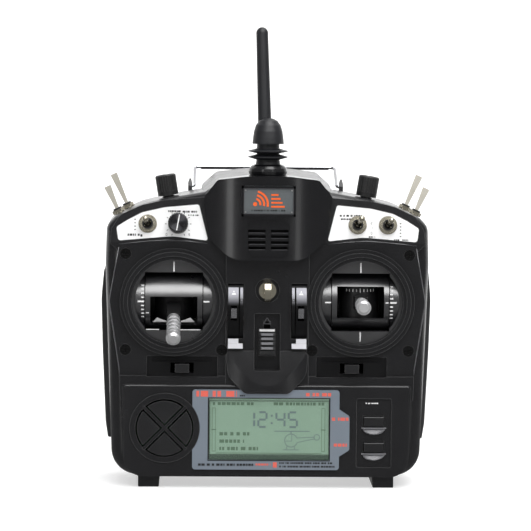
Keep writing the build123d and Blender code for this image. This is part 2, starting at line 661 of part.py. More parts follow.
def power_slider():
    """The slide switch's cap: a plate with a ridged thumb and a stem through the track's slot."""
    plate = block(-4.8, 4.8, -20.4, COLUMN_Y + 3.5, 75.4, 91.0)
    thumb = block(-4.0, 4.0, -24.4, -20.4, 76.8, 88.4)
    grooves = [block(-5, 5, -26, -23.0, z, z + 1.2) for z in (78.2, 80.9, 83.6, 86.3)]
    stem = block(-1.6, 1.6, COLUMN_Y + 3.5, -12.0, 78.5, 85.5)
    return join([cut(thumb, grooves), plate, stem])


def power_switch_body():
    """The electrical slide switch behind the track."""
    body = block(-6, 6, -14.9, -8, 74, 98)
    return body - block(-2.0, 2.0, -16, -10, 77.0, 95.0)


# ---------------------------------------------------------------- display, keys, boards
def lcd_bezel():
    """The grey frame round the display, cut away round the direction keys, with a tab on the right."""
    tab = [(41.2, 18.7, 0.0), (47.0, 22.4, 1.5), (47.0, 41.7, 1.5), (41.2, 45.5, 0.0)]
    corners = [(-42.0, 11.0, 1.7), (41.2, 11.0, 1.7)] + tab + [(41.2, 56.5, 1.7), (-42.0, 56.5, 1.7)]
    plate = slab(corners, BLOCK_Y - 1.2, BLOCK_Y)
    window = slab(window_corners(0), -30, -20)
    around_pad = rod((PAD_X, -30, PAD_Z), (PAD_X, -20, PAD_Z), PAD_BOSS_R + 0.2)
    return cut(plate, [window, around_pad, nose()])


def window_corners(gap):
    """Outline of the display opening, shrunk by a gap all round."""
    x0, x1, z0, z1 = LCD_X[0] + gap, LCD_X[1] - gap, LCD_Z[0] + gap, LCD_Z[1] - gap
    return [(x0, z0, 0.8), (x1, z0, 0.8), (x1, z1, 0.8), (x0, z1, 0.8)]


def lcd_window():
    """The clear lens over the display."""
    return slab(window_corners(0.1), BLOCK_Y - 0.6, BLOCK_Y + 0.7)


def lcd_module():
    """The display glass on its back plate."""
    glass = block(LCD_X[0] + 0.2, LCD_X[1] - 0.2, BLOCK_Y + 0.8, -18.0, LCD_Z[0] + 0.2, LCD_Z[1] - 0.2)
    return glass + block(-38.0, 40.0, -20.7, -11.0, 12.0, 54.6)


def main_board():
    """The circuit board behind the display and the keys, with its processor."""
    board = block(-79.0, 79.0, BOARD_Y, BOARD_Y + 1.6, 18.0, 60.0)
    return board + block(-9, 9, BOARD_Y + 1.6, BOARD_Y + 3.4, 30, 48)


def pad_button(turn):
    """One quarter of the direction pad, clear of the fixed cross ribs, on its own stem."""
    reach = PAD_R + KEY_GAP - PAD_GAP
    disc = along_y(-25.2, -16.5, reach)
    half = reach * 1.5
    clear = (PAD_RIB / 2 + PAD_GAP) * math.sqrt(2)
    quarter = Polyline((0, 0, clear), (half, 0, clear + half), (-half, 0, clear + half), close=True)
    wedge = extrude(make_face(quarter), amount=15, dir=(0, -1, 0))
    key = disc & (Pos(0, -13, 0) * wedge)
    stem = rod((0, -16.5, 9.5), (0, BOARD_Y - 1.0, 9.5), 2.0)
    return Pos(PAD_X, 0, PAD_Z) * Rot(0, turn, 0) * (key + stem)


def menu_key(z0, z1):
    """A rectangular key with a softened front edge, on a stem."""
    key = block(KEY_X[0], KEY_X[1], -24.8, -17.0, z0, z1)
    key = fillet([e for e in key.edges() if abs(e.center().Y + 24.8) < 0.01], 0.7)
    middle_x, middle_z = sum(KEY_X) / 2, (z0 + z1) / 2
    return key + rod((middle_x, -17.0, middle_z), (middle_x, BOARD_Y - 1.0, middle_z), 1.5)


# ---------------------------------------------------------------- switches and knobs
def toggle_housing(wall, bushing_r, half_x, half_y, height):
    """The body of a toggle switch under the panel with its threaded bushing, hollow for the lever."""
    case = block(-half_x, half_x, -half_y, half_y, -wall - height, -wall)
    bushing = rod((0, 0, -wall), (0, 0, height_above(bushing_r)), bushing_r)
    bore = rod((0, 0, -wall - 1), (0, 0, height_above(bushing_r) + 1), bushing_r - 0.7)
    return case + bushing - bore


def height_above(bushing_r):
    """How far a bushing stands above its panel."""
    return 4.2 if bushing_r > MINI_BUSHING_R else 3.0


def toggle_nut(bushing_r, washer_r):
    """A washer and a hexagon nut on the bushing."""
    washer = rod((0, 0, 0), (0, 0, 0.5), washer_r)
    nut = Pos(0, 0, 1.3) * extrude(RegularPolygon(washer_r * 0.96, 6), amount=0.8, both=True)
    hole = rod((0, 0, -1), (0, 0, 5), bushing_r + RUNNING)
    return washer + nut - hole


def face_lever(length):
    """A round bat lever on its ball, tipped towards its rest side."""
    bat = rod((0, 0, 0), (0, 0, length), 1.0, 1.7) + Pos(0, 0, length) * Sphere(1.7)
    pin = rod((-2.2, 0, 0), (2.2, 0, 0), 0.6)
    return bat + Sphere(1.9) + pin


def flat_lever(length):
    """A flat tapered lever, wide at its tip, on its ball."""
    base_z = 2.0
    face = make_face(Polyline((-0.9, 0, 0), (0.9, 0, 0), (2.0, 0, length), (-2.0, 0, length), close=True))
    blade = extrude(face, amount=0.6, both=True)
    pin = rod((-1.7, 0, 0), (1.7, 0, 0), 0.5)
    return join([blade, Sphere(1.5), rod((0, 0, 0), (0, 0, base_z), 0.9), pin])


def control_knob(radius, height):
    """A fluted knob with a skirt, a crown chamfer and a blind bore for its shaft."""
    body = rod((0, 0, 0.5), (0, 0, height), radius)
    body = chamfer([e for e in body.edges() if abs(e.center().Z - height) < 0.01], 0.6)
    flutes = 24
    for index in range(flutes):
        angle = 2 * math.pi * index / flutes
        x, y = radius * math.cos(angle), radius * math.sin(angle)
        body = body - rod((x, y, 3.0), (x, y, height + 1), 0.28)
    return body - rod((0, 0, 0), (0, 0, height - 3.0), 3.0 + RUNNING)


def knob_pot(wall, height):
    """A potentiometer under the panel with its threaded neck and shaft."""
    can = rod((0, 0, -wall - 6.5), (0, 0, -wall), 8.0)
    neck = rod((0, 0, -wall), (0, 0, 0.3), 3.5)
    return can + neck + rod((0, 0, 0), (0, 0, height - 3.2), 3.0)


# ---------------------------------------------------------------- antenna, handle, sockets
def antenna_place():
    """The frame of the antenna's swivel, turned about its own axis."""
    return Pos(0, ANTENNA_Y, 0) * Rot(0, 0, ANTENNA_TURN)


def antenna_base(parts_below):
    """The glossy bulb on the ridge, with a socket for the swivel's spigot."""
    profile = [(0, 173.0), (7.5, 173.0), (7.5, 175.4), (9.5, 176.5), (10.7, 178.0), (11.0, 179.4)]
    profile += [(10.7, 181.0), (9.7, 182.4), (8.0, 183.3), (0, 183.3)]
    bulb = turned(profile) - rod((0, 0, 177.3), (0, 0, 190), 4.05)
    return cut(Pos(0, ANTENNA_Y, 0) * bulb, parts_below)


def antenna_swivel():
    """The boot that turns on the base: spigot, neck, two fins and a bell, slotted for the rod."""
    spigot = [(0, 177.6), (4.0, 177.6), (4.0, 183.4), (7.0, 183.4), (6.6, 186.0)]
    low_fin = [(11.25, 187.3), (11.25, 187.8), (6.6, 189.0), (6.4, 189.6)]
    high_fin = [(11.25, 190.6), (11.25, 191.1), (6.4, 192.4), (6.4, 195.0)]
    bell = [(8.9, 195.0), (8.9, 195.8), (8.6, 198.8), (8.1, 202.2), (7.0, 205.6), (5.2, 208.0), (2.8, 209.3)]
    profile = spigot + low_fin + high_fin + bell + [(0, 209.6)]
    slot = block(-4.2, 4.2, 0.3, 20, 195.7, 220)
    x, y, z = ANTENNA_PIN
    return turned(profile) - slot - rod((-20, y, z), (20, y, z), 1.2)


def antenna_hinge_pin():
    """The steel pin across the slot."""
    x, y, z = ANTENNA_PIN
    half = 6.0
    return rod((-half, y, z), (half, y, z), 1.2)


def antenna_rod():
    """The tapering sleeve of the aerial, with a rounded knuckle on the pin and a domed tip."""
    x, y, z = ANTENNA_PIN
    length = 61.0
    tip_r = 3.4
    shaft = rod((0, 0, 0), (0, 0, length - tip_r), 3.9, tip_r) + Pos(0, 0, length - tip_r) * Sphere(tip_r)
    knuckle = rod((-3.9, 0, 0), (3.9, 0, 0), 3.9)
    whole = shaft + knuckle - rod((-9, 0, 0), (9, 0, 0), 1.2 + RUNNING)
    return Pos(x, y, z) * Rot(-ANTENNA_LEAN, 0, 0) * whole


def handle_bar():
    """The chrome carrying bail: one bent wire with a thicker grip bar."""
    bar_y, bar_z = HANDLE_BAR
    points = [(45.2, HANDLE_Y, HANDLE_Z), (HANDLE_X, HANDLE_Y, HANDLE_Z), (HANDLE_X, bar_y, bar_z)]
    points += [(-x, y, z) for x, y, z in reversed(points)]
    path = FilletPolyline(*points, radius=[1.6, 3.0, 3.0, 1.6])
    wire = sweep(Plane(origin=points[0], z_dir=(-1, 0, 0)) * Circle(WIRE_R), path=path)
    return wire + rod((-38.0, bar_y, bar_z), (38.0, bar_y, bar_z), BAR_R)


def handle_brackets(case):
    """Two pointed ears on the spine, drilled for the bail."""
    points = [(41.0, 155.0), (49.5, 155.0), (48.4, 168.4), (46.4, 172.6), (45.6, 172.6), (43.6, 168.4)]
    face = make_face(Polyline(*[(43.0, y, z) for y, z in points], close=True))
    pointed = [(42.9, 150.0, 0.0), (45.6, 150.0, 0.0), (45.6, 169.6, 0.5), (44.7, 172.8, 0.3), (43.8, 172.8, 0.3)]
    pointed.append((42.9, 169.6, 0.5))
    ear = extrude(face, amount=2.5, dir=(1, 0, 0)) & slab(pointed, 30, 60)
    ear = ear - rod((40, HANDLE_Y, HANDLE_Z), (50, HANDLE_Y, HANDLE_Z), WIRE_R + RUNNING)
    return [piece - case for piece in both_sides(ear)]


def strap_hook():
    """The bright neck strap eye: a disc, a loop plate and a stud through the shell."""
    z, hole_y, half = HOOK_Z, HOOK_HOLE_Y, 1.75
    disc = rod((0, -23.6, z), (0, COLUMN_Y + 1.5, z), 4.9)
    stud = rod((0, COLUMN_Y + 1.5, z), (0, -12.0, z), 1.95)
    loop = rod((-half, hole_y, z), (half, hole_y, z), 5.9) & block(-2, 2, -40, -23.0, z - 6.0, z + 6.0)
    root = block(-half, half, -25.5, -23.0, z - 4.5, z + 4.5)
    return join([disc, stud, loop, root]) - rod((-5, hole_y, z), (5, hole_y, z), 2.8)


def rear_jacks():
    """The trainer socket and the charging socket in the back."""
    jacks = []
    for x, bore in ((-70, 1.75), (70, 2.75)):
        body = rod((x, 26, 30), (x, BACK_Y, 30), 5.0) + rod((x, BACK_Y, 30), (x, BACK_Y + 1.0, 30), 6.2)
        jacks.append(body - rod((x, 29, 30), (x, 45, 30), bore))
    return jacks


# ---------------------------------------------------------------- power and radio
def cell_centres():
    """Centres of the eight cells in YZ, in two layers of four."""
    first_y, first_z = CELL_FIRST
    places = [(layer, row) for layer in range(2) for row in range(4)]
    return [(first_y + layer * CELL_PITCH, first_z + row * CELL_PITCH) for layer, row in places]


def battery_cells():
    """Eight AA cells with their positive buttons."""
    cells = []
    for index, (y, z) in enumerate(cell_centres()):
        way = 1 if index % 2 else -1
        end = way * CELL_LENGTH / 2
        neck = end - way * 1.2
        can = rod((-end + way * 1.5, y, z), (neck, y, z), CELL_R)
        cells.append(can + rod((neck, y, z), (end, y, z), 2.7))
    return cells


def battery_tray():
    """The removable holder: a box with eight round channels, open to the back."""
    body = block(-28.0, 28.0, 19.6, CELL_FIRST[0] + CELL_PITCH, 30.6, 91.6)
    return cut(body, [rod((-25.2, y, z), (25.2, y, z), CELL_R + 0.1) for y, z in cell_centres()])


def battery_door():
    """The sliding cover of the bay, with a thumb grip of five ribs."""
    door = block(-DOOR_HALF, DOOR_HALF, SPINE_Y - 2.0, SPINE_Y + 0.4, SPINE_LOW_Z, DOOR_TOP_Z)
    ribs = [block(-9, 9, SPINE_Y + 0.4, SPINE_Y + 1.3, z, z + 1.0) for z in (80, 82.2, 84.4, 86.6, 88.8)]
    return join([door] + ribs)


def rf_module():
    """The plug-in radio module that fills the upper bay."""
    body = block(-26.0, 26.0, 24.0, SPINE_Y - 0.4, 98.0, 152.0)
    lip = block(-22.0, 22.0, SPINE_Y - 0.4, SPINE_Y + 0.6, 102.0, 148.0)
    return body + fillet([e for e in lip.edges() if e.center().Y > SPINE_Y + 0.5], 0.5)


def speaker_driver():
    """The small speaker behind the grille."""
    basket = rod((0, RIDGE_FRONT_Y + 2.0, SPEAKER_Z), (0, -6.0, SPEAKER_Z), 13.0)
    return basket + rod((0, -6.0, SPEAKER_Z), (0, -2.0, SPEAKER_Z), 7.0)


# ---------------------------------------------------------------- build everything
def build():
    """Write every node."""
    os.makedirs("parts", exist_ok=True)
    front, rear = front_shell(), rear_shell()
    solid_front, solid_rear = front_envelope(), rear_envelope()
    case = solid_front + solid_rear
    hump = console()
    write("front_shell", front)
    write("rear_shell", rear)
    write("centre_console", hump)
    write("badge_plate", badge_plate(hump))
    write("speaker_driver", speaker_driver())
    write("switch_panels", switch_panels())
    write("side_grips", side_grips(case))
    write("feet", feet(case))
    write("case_screws", case_screws())
    write_gimbals()
    write_trims()
    write_display_and_keys()
    write_controls()
    write("antenna_base", antenna_base([case, hump]))
    write("antenna_swivel", antenna_place() * antenna_swivel())
    write("antenna_hinge_pin", antenna_place() * antenna_hinge_pin())
    write("antenna_rod", antenna_place() * antenna_rod())
    write("handle_bar", handle_bar())
    write("handle_brackets", handle_brackets(case))
    write("strap_hook", strap_hook())
    write("rear_jacks", rear_jacks())
    write("battery_cells", battery_cells())
    write("battery_tray", battery_tray())
    write("battery_door", battery_door())
    write("rf_module", rf_module())


def write_gimbals():
    """Both gimbals; the left stick rests at the bottom of its travel."""
    write("gimbal_bezels", [at_gimbal(side) * gimbal_bezel() for side in (-1, 1)])
    write("gimbal_frames", [at_gimbal(side) * gimbal_frame(side) for side in (-1, 1)])
    write("gimbal_screws", gimbal_screws())
    for name, side, down in (("left", -1, LEFT_STICK_DOWN), ("right", 1, 0)):
        place = at_gimbal(side) * Rot(down, 0, 0)
        write(f"gimbal_drum_{name}", place * gimbal_drum())
        write(f"stick_carrier_{name}", place * stick_carrier())
        write(f"stick_{name}", place * stick())


def write_trims():
    """The four trims: an upright pair beside the column and a level pair below the gimbals."""
    shrouds = []
    for piece in (vertical_trim_shroud(), vertical_trim_ramp()):
        shrouds += both_sides(Pos(VTRIM_X, 0, VTRIM_Z) * piece)
    shrouds += both_sides(Pos(HTRIM_X, 0, HTRIM_Z) * horizontal_trim_shroud())
    write("trim_shrouds", shrouds)
    lever_x = VTRIM_X + 0.95
    for name, side in (("left", -1), ("right", 1)):
        write(f"trim_vertical_{name}", Pos(side * lever_x, 0, VTRIM_Z - 0.9) * trim_lever())
        write(f"trim_horizontal_{name}", Pos(side * HTRIM_X, 0, HTRIM_Z) * horizontal_trim_lever())
    write("power_slider", power_slider())
    write("power_switch_body", power_switch_body())


def write_display_and_keys():
    """Everything on the lower block."""
    write("lcd_bezel", lcd_bezel())
    write("lcd_window", lcd_window())
    write("lcd_module", lcd_module())
    write("main_board", main_board())
    for name, turn in (("up", 0), ("right", 90), ("down", 180), ("left", -90)):
        write(f"pad_button_{name}", pad_button(turn))
    for name, (z0, z1) in KEY_ROWS.items():
        write(name, menu_key(z0, z1))


def write_controls():
    """Seven toggle switches and three knobs, each in the frame of its own panel."""
    housings, nuts, pots = [], [], []
    ball_z = 1.6
    for name, frame in FACE_FRAMES.items():
        housings.append(frame * toggle_housing(3.3, BUSHING_R, 4.0, 5.0, 9.0))
        nuts.append(frame * toggle_nut(BUSHING_R, 5.2))
        turn = 35 if name == "toggle_face_left" else -35
        length = 13.0 if name == "toggle_face_inner" else 10.0
        tip = frame * Pos(0, 0, ball_z) * Rot(0, 0, turn) * Rot(-TOGGLE_THROW, 0, 0)
        write(name, tip * face_lever(length))
    for name, frame in CORNER_FRAMES.items():
        housings.append(frame * toggle_housing(3.3, MINI_BUSHING_R, 2.4, 4.2, 7.5))
        nuts.append(frame * toggle_nut(MINI_BUSHING_R, 3.7))
        length = 20.2 if "inner" in name else 15.5
        tip = frame * Pos(0, 0, 1.2) * Rot(-TOGGLE_THROW, 0, 0)
        write(name, tip * flat_lever(length))
    for name, frame in TOP_KNOB_FRAMES.items():
        pots.append(frame * knob_pot(3.8, TOP_KNOB_HEIGHT))
        write(name, frame * Pos(0, 0, 0.3) * control_knob(TOP_KNOB_R, TOP_KNOB_HEIGHT))
    pots.append(FACE_KNOB_FRAME * knob_pot(3.3, 9.0))
    pots += both_sides(at_gimbal(1) * gimbal_pot())
    write("knob_face", FACE_KNOB_FRAME * Pos(0, 0, 0.3) * control_knob(5.65, 9.0))
    write("toggle_housings", housings)
    write("toggle_nuts", nuts)
    write("potentiometers", pots)


build()
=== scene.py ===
import json
import math
import random

import bmesh
import bpy
from mathutils import Matrix, Vector


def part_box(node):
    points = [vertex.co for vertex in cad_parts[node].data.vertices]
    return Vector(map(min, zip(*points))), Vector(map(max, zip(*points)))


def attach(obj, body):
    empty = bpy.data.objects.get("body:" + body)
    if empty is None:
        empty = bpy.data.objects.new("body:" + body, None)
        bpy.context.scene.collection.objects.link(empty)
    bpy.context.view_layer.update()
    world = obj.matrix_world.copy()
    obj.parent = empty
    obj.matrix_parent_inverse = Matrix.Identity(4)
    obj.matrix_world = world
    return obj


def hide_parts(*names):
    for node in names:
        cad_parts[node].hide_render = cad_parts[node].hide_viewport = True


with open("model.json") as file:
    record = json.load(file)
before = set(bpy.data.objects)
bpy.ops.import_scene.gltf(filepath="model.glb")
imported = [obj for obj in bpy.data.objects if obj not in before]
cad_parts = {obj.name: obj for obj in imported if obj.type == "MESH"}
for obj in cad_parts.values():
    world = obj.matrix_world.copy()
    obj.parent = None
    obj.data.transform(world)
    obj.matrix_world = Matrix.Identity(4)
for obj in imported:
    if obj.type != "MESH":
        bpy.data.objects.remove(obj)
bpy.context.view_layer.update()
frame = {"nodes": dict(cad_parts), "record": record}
NODES = frame["nodes"]

MM = 0.001
SIDES = (("left", -1), ("right", 1))

# Places and sizes on the frame, in millimetres. A Y is a depth from the case's parting plane, and
# the front is negative.
FEET_BEHIND = 35.0
DECK_Y = -20.0
COLUMN_Y = -22.0

# Each gimbal: the drum's axis, its radii, how far out the stick's tip is, and its rest tilt in degrees.
GIMBAL_X, GIMBAL_Y, GIMBAL_Z = 52.9, -2.0, 105.8
GIMBAL_PLATE_Y = -17.5
DRUM_R, CHEEK_R, CARRIER_R = 17.0, 16.4, 11.0
STICK_TIP = 48.6
REST_TILT = {"left": -22.6, "right": 0.0}

# Each upright trim: the axis and radius of its bulged face, and its foot, from the trim's middle.
TRIM_X, TRIM_Y, TRIM_Z, TRIM_R = 18.0, -0.6, 101.0, 25.0
RAMP_TOP, RAMP_HEIGHT, RAMP_OUT = -15.6, 5.6, 3.6

# The power switch: the floor of its track, its plate and its thumb piece.
TRACK_Y, SLIDER_Y, THUMB_Y = -18.4, -20.4, -24.4

# The shoulders' sloping facets start here and lean back.
FACET_LOW_Z = 139.5
FACET_TILT = math.radians(9.0)

# Console, display, keys, knobs and grips.
BADGE_Y, BADGE_RIM_Y, GRILLE_Y = -30.4, -30.86, -28.42
BEZEL_Y, LCD_Y = -24.7, -22.7
KEY_X, KEY_FLOOR_Y = 60.9, -22.3
FACE_KNOB_X, FACE_KNOB_Z, FACE_KNOB_RISE = -50.7, 149.8, 9.3
TOP_KNOB_X, TOP_KNOB_Y, TOP_KNOB_Z, TOP_KNOB_RISE = 56.5, 4.5, 164.17, 12.5
TOP_KNOB_LEAN = 9.0
GRIP_ROOT_X = 87.0

# How deep printed marks are sunk, so that they never float.
MARK_ROOT = -0.03

PART_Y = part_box("feet")[1].y - FEET_BEHIND * MM


def at(x, y, z):
    """A point given in millimetres, with y measured from the parting plane of the case."""
    return Vector((x * MM, y * MM + PART_Y, z * MM))


# ------------------------------------------------------------------------------ materials
# How much lighter an edge is, partly as wear and partly as a painted edge highlight, and the cosines of the
# turn at which this starts and is full.
WEAR_AND_SHINE_GAIN = 0.25
WEAR_AND_SHINE_STARTS, WEAR_AND_SHINE_FULL = 0.98, 0.86
SMUDGE_SCALE = 55.0


def node(tree, kind, **inputs):
    """A shader node with its input sockets set by name."""
    made = tree.nodes.new(kind)
    for name, value in inputs.items():
        made.inputs[name.replace("_", " ")].default_value = value
    return made


def remap(tree, value, low, high, out_low=0.0, out_high=1.0):
    """A value stretched from one range to another."""
    made = node(tree, "ShaderNodeMapRange", From_Min=low, From_Max=high, To_Min=out_low, To_Max=out_high)
    tree.links.new(value, made.inputs["Value"])
    return made.outputs["Result"]


def blend(tree, factor, second):
    """A colour mix towards the second colour; the first is left for the caller to set or link."""
    made = tree.nodes.new("ShaderNodeMix")
    made.data_type = "RGBA"
    made.inputs["B"].default_value = (*second, 1)
    tree.links.new(factor, made.inputs["Factor"])
    return made


def surface(name, color, roughness, metallic=0.0, grain=1400.0, bump=0.05, smudge=0.08, tint=0.25,
            edge_wear_and_shine=0.0, coat=0.0, ior=1.5, sheen=0.0):
    """A procedural surface: fine grain in the bump, slow smudges in colour and roughness, and lighter edges
    that are partly wear and partly a painted edge highlight.
    """
    made = bpy.data.materials.new(name)
    made.use_nodes = True
    tree = made.node_tree
    shader = tree.nodes["Principled BSDF"]
    shader.inputs["Metallic"].default_value = metallic
    shader.inputs["IOR"].default_value = ior
    shader.inputs["Coat Weight"].default_value = coat
    shader.inputs["Coat Roughness"].default_value = 0.08
    shader.inputs["Sheen Weight"].default_value = sheen
    place = tree.nodes.new("ShaderNodeTexCoord")
    slow = node(tree, "ShaderNodeTexNoise", Scale=SMUDGE_SCALE, Detail=4.0, Roughness=0.6)
    fine = node(tree, "ShaderNodeTexNoise", Scale=grain, Detail=2.0, Roughness=0.55)
    for noise in (slow, fine):
        tree.links.new(place.outputs["Object"], noise.inputs["Vector"])
    matt, slick = min(1.0, roughness + smudge), max(0.02, roughness - smudge)
    tree.links.new(remap(tree, slow.outputs["Fac"], 0.0, 1.0, slick, matt), shader.inputs["Roughness"])
    mix = blend(tree, slow.outputs["Fac"], [min(1.0, c * (1 + tint)) for c in color])
    mix.inputs["A"].default_value = (*[c * (1 - tint) for c in color], 1)
    tone = mix.outputs["Result"]
    relief = node(tree, "ShaderNodeBump", Strength=bump, Distance=0.0002)
    tree.links.new(fine.outputs["Fac"], relief.inputs["Height"])
    # Lighter edges: partly wear, partly a painted edge highlight.
    if edge_wear_and_shine:
        tone = worn_and_shining_edges(tree, tone, color, edge_wear_and_shine)
    tree.links.new(tone, shader.inputs["Base Color"])
    tree.links.new(relief.outputs["Normal"], shader.inputs["Normal"])
    return made


def worn_and_shining_edges(tree, tone, color, amount):
    """Lightens the colour where the surface turns sharply: partly wear, partly a painted edge highlight."""
    bevel = node(tree, "ShaderNodeBevel", Radius=0.0005)
    bevel.samples = 4
    flat = tree.nodes.new("ShaderNodeNewGeometry")
    dot = tree.nodes.new("ShaderNodeVectorMath")
    dot.operation = "DOT_PRODUCT"
    tree.links.new(bevel.outputs["Normal"], dot.inputs[0])
    tree.links.new(flat.outputs["Normal"], dot.inputs[1])
    edge = remap(tree, dot.outputs["Value"], WEAR_AND_SHINE_STARTS, WEAR_AND_SHINE_FULL, 0.0, amount)
    mix = blend(tree, edge, [min(1.0, WEAR_AND_SHINE_GAIN + c) for c in color])
    tree.links.new(tone, mix.inputs["A"])
    return mix.outputs["Result"]


def painted_glow_surface(name, color, strength):
    """A display surface with a soft emission: a painted glow that stands in for the light on it."""
    made = surface(name, color, 0.35, grain=600, bump=0.02, tint=0.06)
    shader = made.node_tree.nodes["Principled BSDF"]
    shader.inputs["Emission Color"].default_value = (*color, 1)
    shader.inputs["Emission Strength"].default_value = strength
    return made


def height_within(tree):
    """How high a point is in its piece, or in the sky, from its generated coordinates."""
    place = tree.nodes.new("ShaderNodeTexCoord")
    split = tree.nodes.new("ShaderNodeSeparateXYZ")
    tree.links.new(place.outputs["Generated"], split.inputs["Vector"])
    return split.outputs["Z"]


def painted_top_highlight(name, dark, light):
    """A painted highlight: a moulding's colour grows lighter towards the top of its piece, standing in for
    the light a curved glossy face catches from above.
    """
    made = surface(name, light, 0.30, grain=1500, bump=0.04)
    tree = made.node_tree
    mix = blend(tree, remap(tree, height_within(tree), 0.05, 0.75), light)
    mix.inputs["A"].default_value = (*dark, 1)
    tree.links.new(mix.outputs["Result"], tree.nodes["Principled BSDF"].inputs["Base Color"])
    return made


def clear_lens(name):
    """Clear acrylic: smooth, slightly reflecting, nearly invisible face on."""
    made = surface(name, (0.95, 1.0, 0.96), 0.06, grain=200, bump=0.004, smudge=0.03, tint=0.02, ior=1.45)
    shader = made.node_tree.nodes["Principled BSDF"]
    shader.inputs["Transmission Weight"].default_value = 1.0
    shader.inputs["Alpha"].default_value = 0.25
    return made


LOOKS = {
    # Mouldings.
    "case_black": dict(color=(0.009, 0.009, 0.010), roughness=0.24, grain=2600, bump=0.08, edge_wear_and_shine=0.25),
    "console_gloss": dict(color=(0.005, 0.005, 0.006), roughness=0.2,
                          grain=900, bump=0.03, smudge=0.05, coat=0.25),
    "badge_grey": dict(color=(0.10, 0.11, 0.115), roughness=0.32, grain=1800, bump=0.05, edge_wear_and_shine=0.25),
    "panel_white": dict(color=(0.86, 0.86, 0.86), roughness=0.45, grain=1500, bump=0.04, tint=0.02),
    "grip_rubber": dict(color=(0.020, 0.020, 0.021), roughness=0.62, grain=1200, bump=0.2, sheen=0.15),
    "inner_black": dict(color=(0.006, 0.006, 0.0065), roughness=0.42, grain=1600, bump=0.1),
    "shadow_black": dict(color=(0.004, 0.004, 0.0045), roughness=0.4, grain=1600, bump=0.08, ior=1.28),
    "key_black": dict(color=(0.010, 0.010, 0.011), roughness=0.34, grain=1700, bump=0.08, edge_wear_and_shine=0.25),
    "knob_black": dict(color=(0.010, 0.010, 0.010), roughness=0.42, grain=1700, bump=0.1, edge_wear_and_shine=0.15),
    "antenna_black": dict(color=(0.011, 0.0115, 0.014), roughness=0.46, grain=1900, bump=0.12),
    "bezel_grey": dict(color=(0.145, 0.172, 0.205), roughness=0.42, grain=1500, bump=0.05, tint=0.06),
    "trim_grey": dict(color=(0.06, 0.06, 0.062), roughness=0.45, grain=1500, bump=0.08, edge_wear_and_shine=0.3),
    "trim_gloss": dict(color=(0.06, 0.06, 0.065), roughness=0.28, grain=1500, bump=0.04, ior=2.4),
    # A pale painted reflection for the upright trims' feet.
    "pale_foot_reflection": dict(color=(0.46, 0.46, 0.49), roughness=0.35, grain=1500, bump=0.03, tint=0.05),
    "drum_black": dict(color=(0.014, 0.014, 0.016), roughness=0.3, grain=1500, bump=0.04, ior=2.3),
    # A light grey that paints the highlight on thin edges, beads and rims.
    "edge_highlight_grey": dict(color=(0.05, 0.05, 0.055), roughness=0.25, grain=1700, bump=0.03, ior=2.0),
    # A light grey that paints the reflection on small up-facing ledges and ribs.
    "lip_reflection_grey": dict(color=(0.16, 0.16, 0.17), roughness=0.3, grain=1700, bump=0.05),
    # Metals.
    "stick_aluminium": dict(color=(0.88, 0.88, 0.89), roughness=0.38, metallic=0.9,
                            grain=900, bump=0.03, tint=0.05),
    "tip_dark": dict(color=(0.06, 0.06, 0.06), roughness=0.35, metallic=0.6, grain=900, bump=0.03),
    "nickel": dict(color=(0.62, 0.58, 0.47), roughness=0.24, metallic=1.0, grain=1200, bump=0.02, tint=0.06),
    "lever_steel": dict(color=(0.42, 0.40, 0.35), roughness=0.4, metallic=0.75,
                        grain=1500, bump=0.02, tint=0.08),
    "chrome": dict(color=(0.60, 0.60, 0.62), roughness=0.14, metallic=1.0,
                   grain=400, bump=0.015, smudge=0.05, tint=0.06),
    "pin_steel": dict(color=(0.6, 0.6, 0.6), roughness=0.3, metallic=1.0, grain=800, bump=0.05),
    "spun_black": dict(color=(0.03, 0.03, 0.033), roughness=0.28, metallic=0.8, grain=900, bump=0.05),
    "screw_black": dict(color=(0.004, 0.004, 0.004), roughness=0.32, grain=1300, bump=0.1, ior=1.3),
    # Inside.
    "board_green": dict(color=(0.03, 0.14, 0.05), roughness=0.3, grain=500, bump=0.05),
    "cell_wrap": dict(color=(0.05, 0.12, 0.35), roughness=0.3, grain=600, bump=0.03),
    # Print and display.
    "lcd_shade": dict(color=(0.07, 0.10, 0.08), roughness=0.5, grain=900, bump=0.02, tint=0.1),
    "lcd_ink": dict(color=(0.08, 0.14, 0.09), roughness=0.5, grain=900, bump=0.02, tint=0.1),
    "lcd_ink_soft": dict(color=(0.12, 0.17, 0.17), roughness=0.5, grain=900, bump=0.02, tint=0.1),
    "print_white": dict(color=(0.80, 0.80, 0.80), roughness=0.5, grain=1500, bump=0.04, tint=0.05),
    "print_red": dict(color=(0.62, 0.10, 0.07), roughness=0.5, grain=1500, bump=0.04, tint=0.1),
    "print_orange": dict(color=(0.80, 0.12, 0.02), roughness=0.42, grain=1500, bump=0.04, tint=0.08),
}
MATS = {name: surface(name, **look) for name, look in LOOKS.items()}
MATS["lens_clear"] = clear_lens("lens_clear")
# The display's emission is a painted glow, not a lamp.
MATS["lcd_green"] = painted_glow_surface("lcd_green", (0.155, 0.232, 0.175), 0.42)
# A painted highlight for the upright trims' upper faces.
MATS["trim_top_highlight"] = painted_top_highlight("trim_top_highlight", (0.012, 0.012, 0.014), (0.40, 0.40, 0.45))

# Nodes whose finish differs from their slot's.
NODE_FINISH = {
    "gimbal_frames": "drum_black",
    "trim_vertical_left": "trim_gloss",
    "trim_vertical_right": "trim_gloss",
    "trim_shrouds": "shadow_black",
    "toggle_inner_left": "lever_steel",
    "toggle_inner_right": "lever_steel",
    "toggle_outer_left": "lever_steel",
    "toggle_outer_right": "lever_steel",
}


def dress_frame():
    """Every CAD node takes the material of its slot, or its own finish."""
    for row in frame["record"]["subparts"]:
        materials = NODES[row["node"]].data.materials
        finish = NODE_FINISH.get(row["node"], row["material_slot"])
        materials.clear()
        materials.append(MATS[finish])


dress_frame()


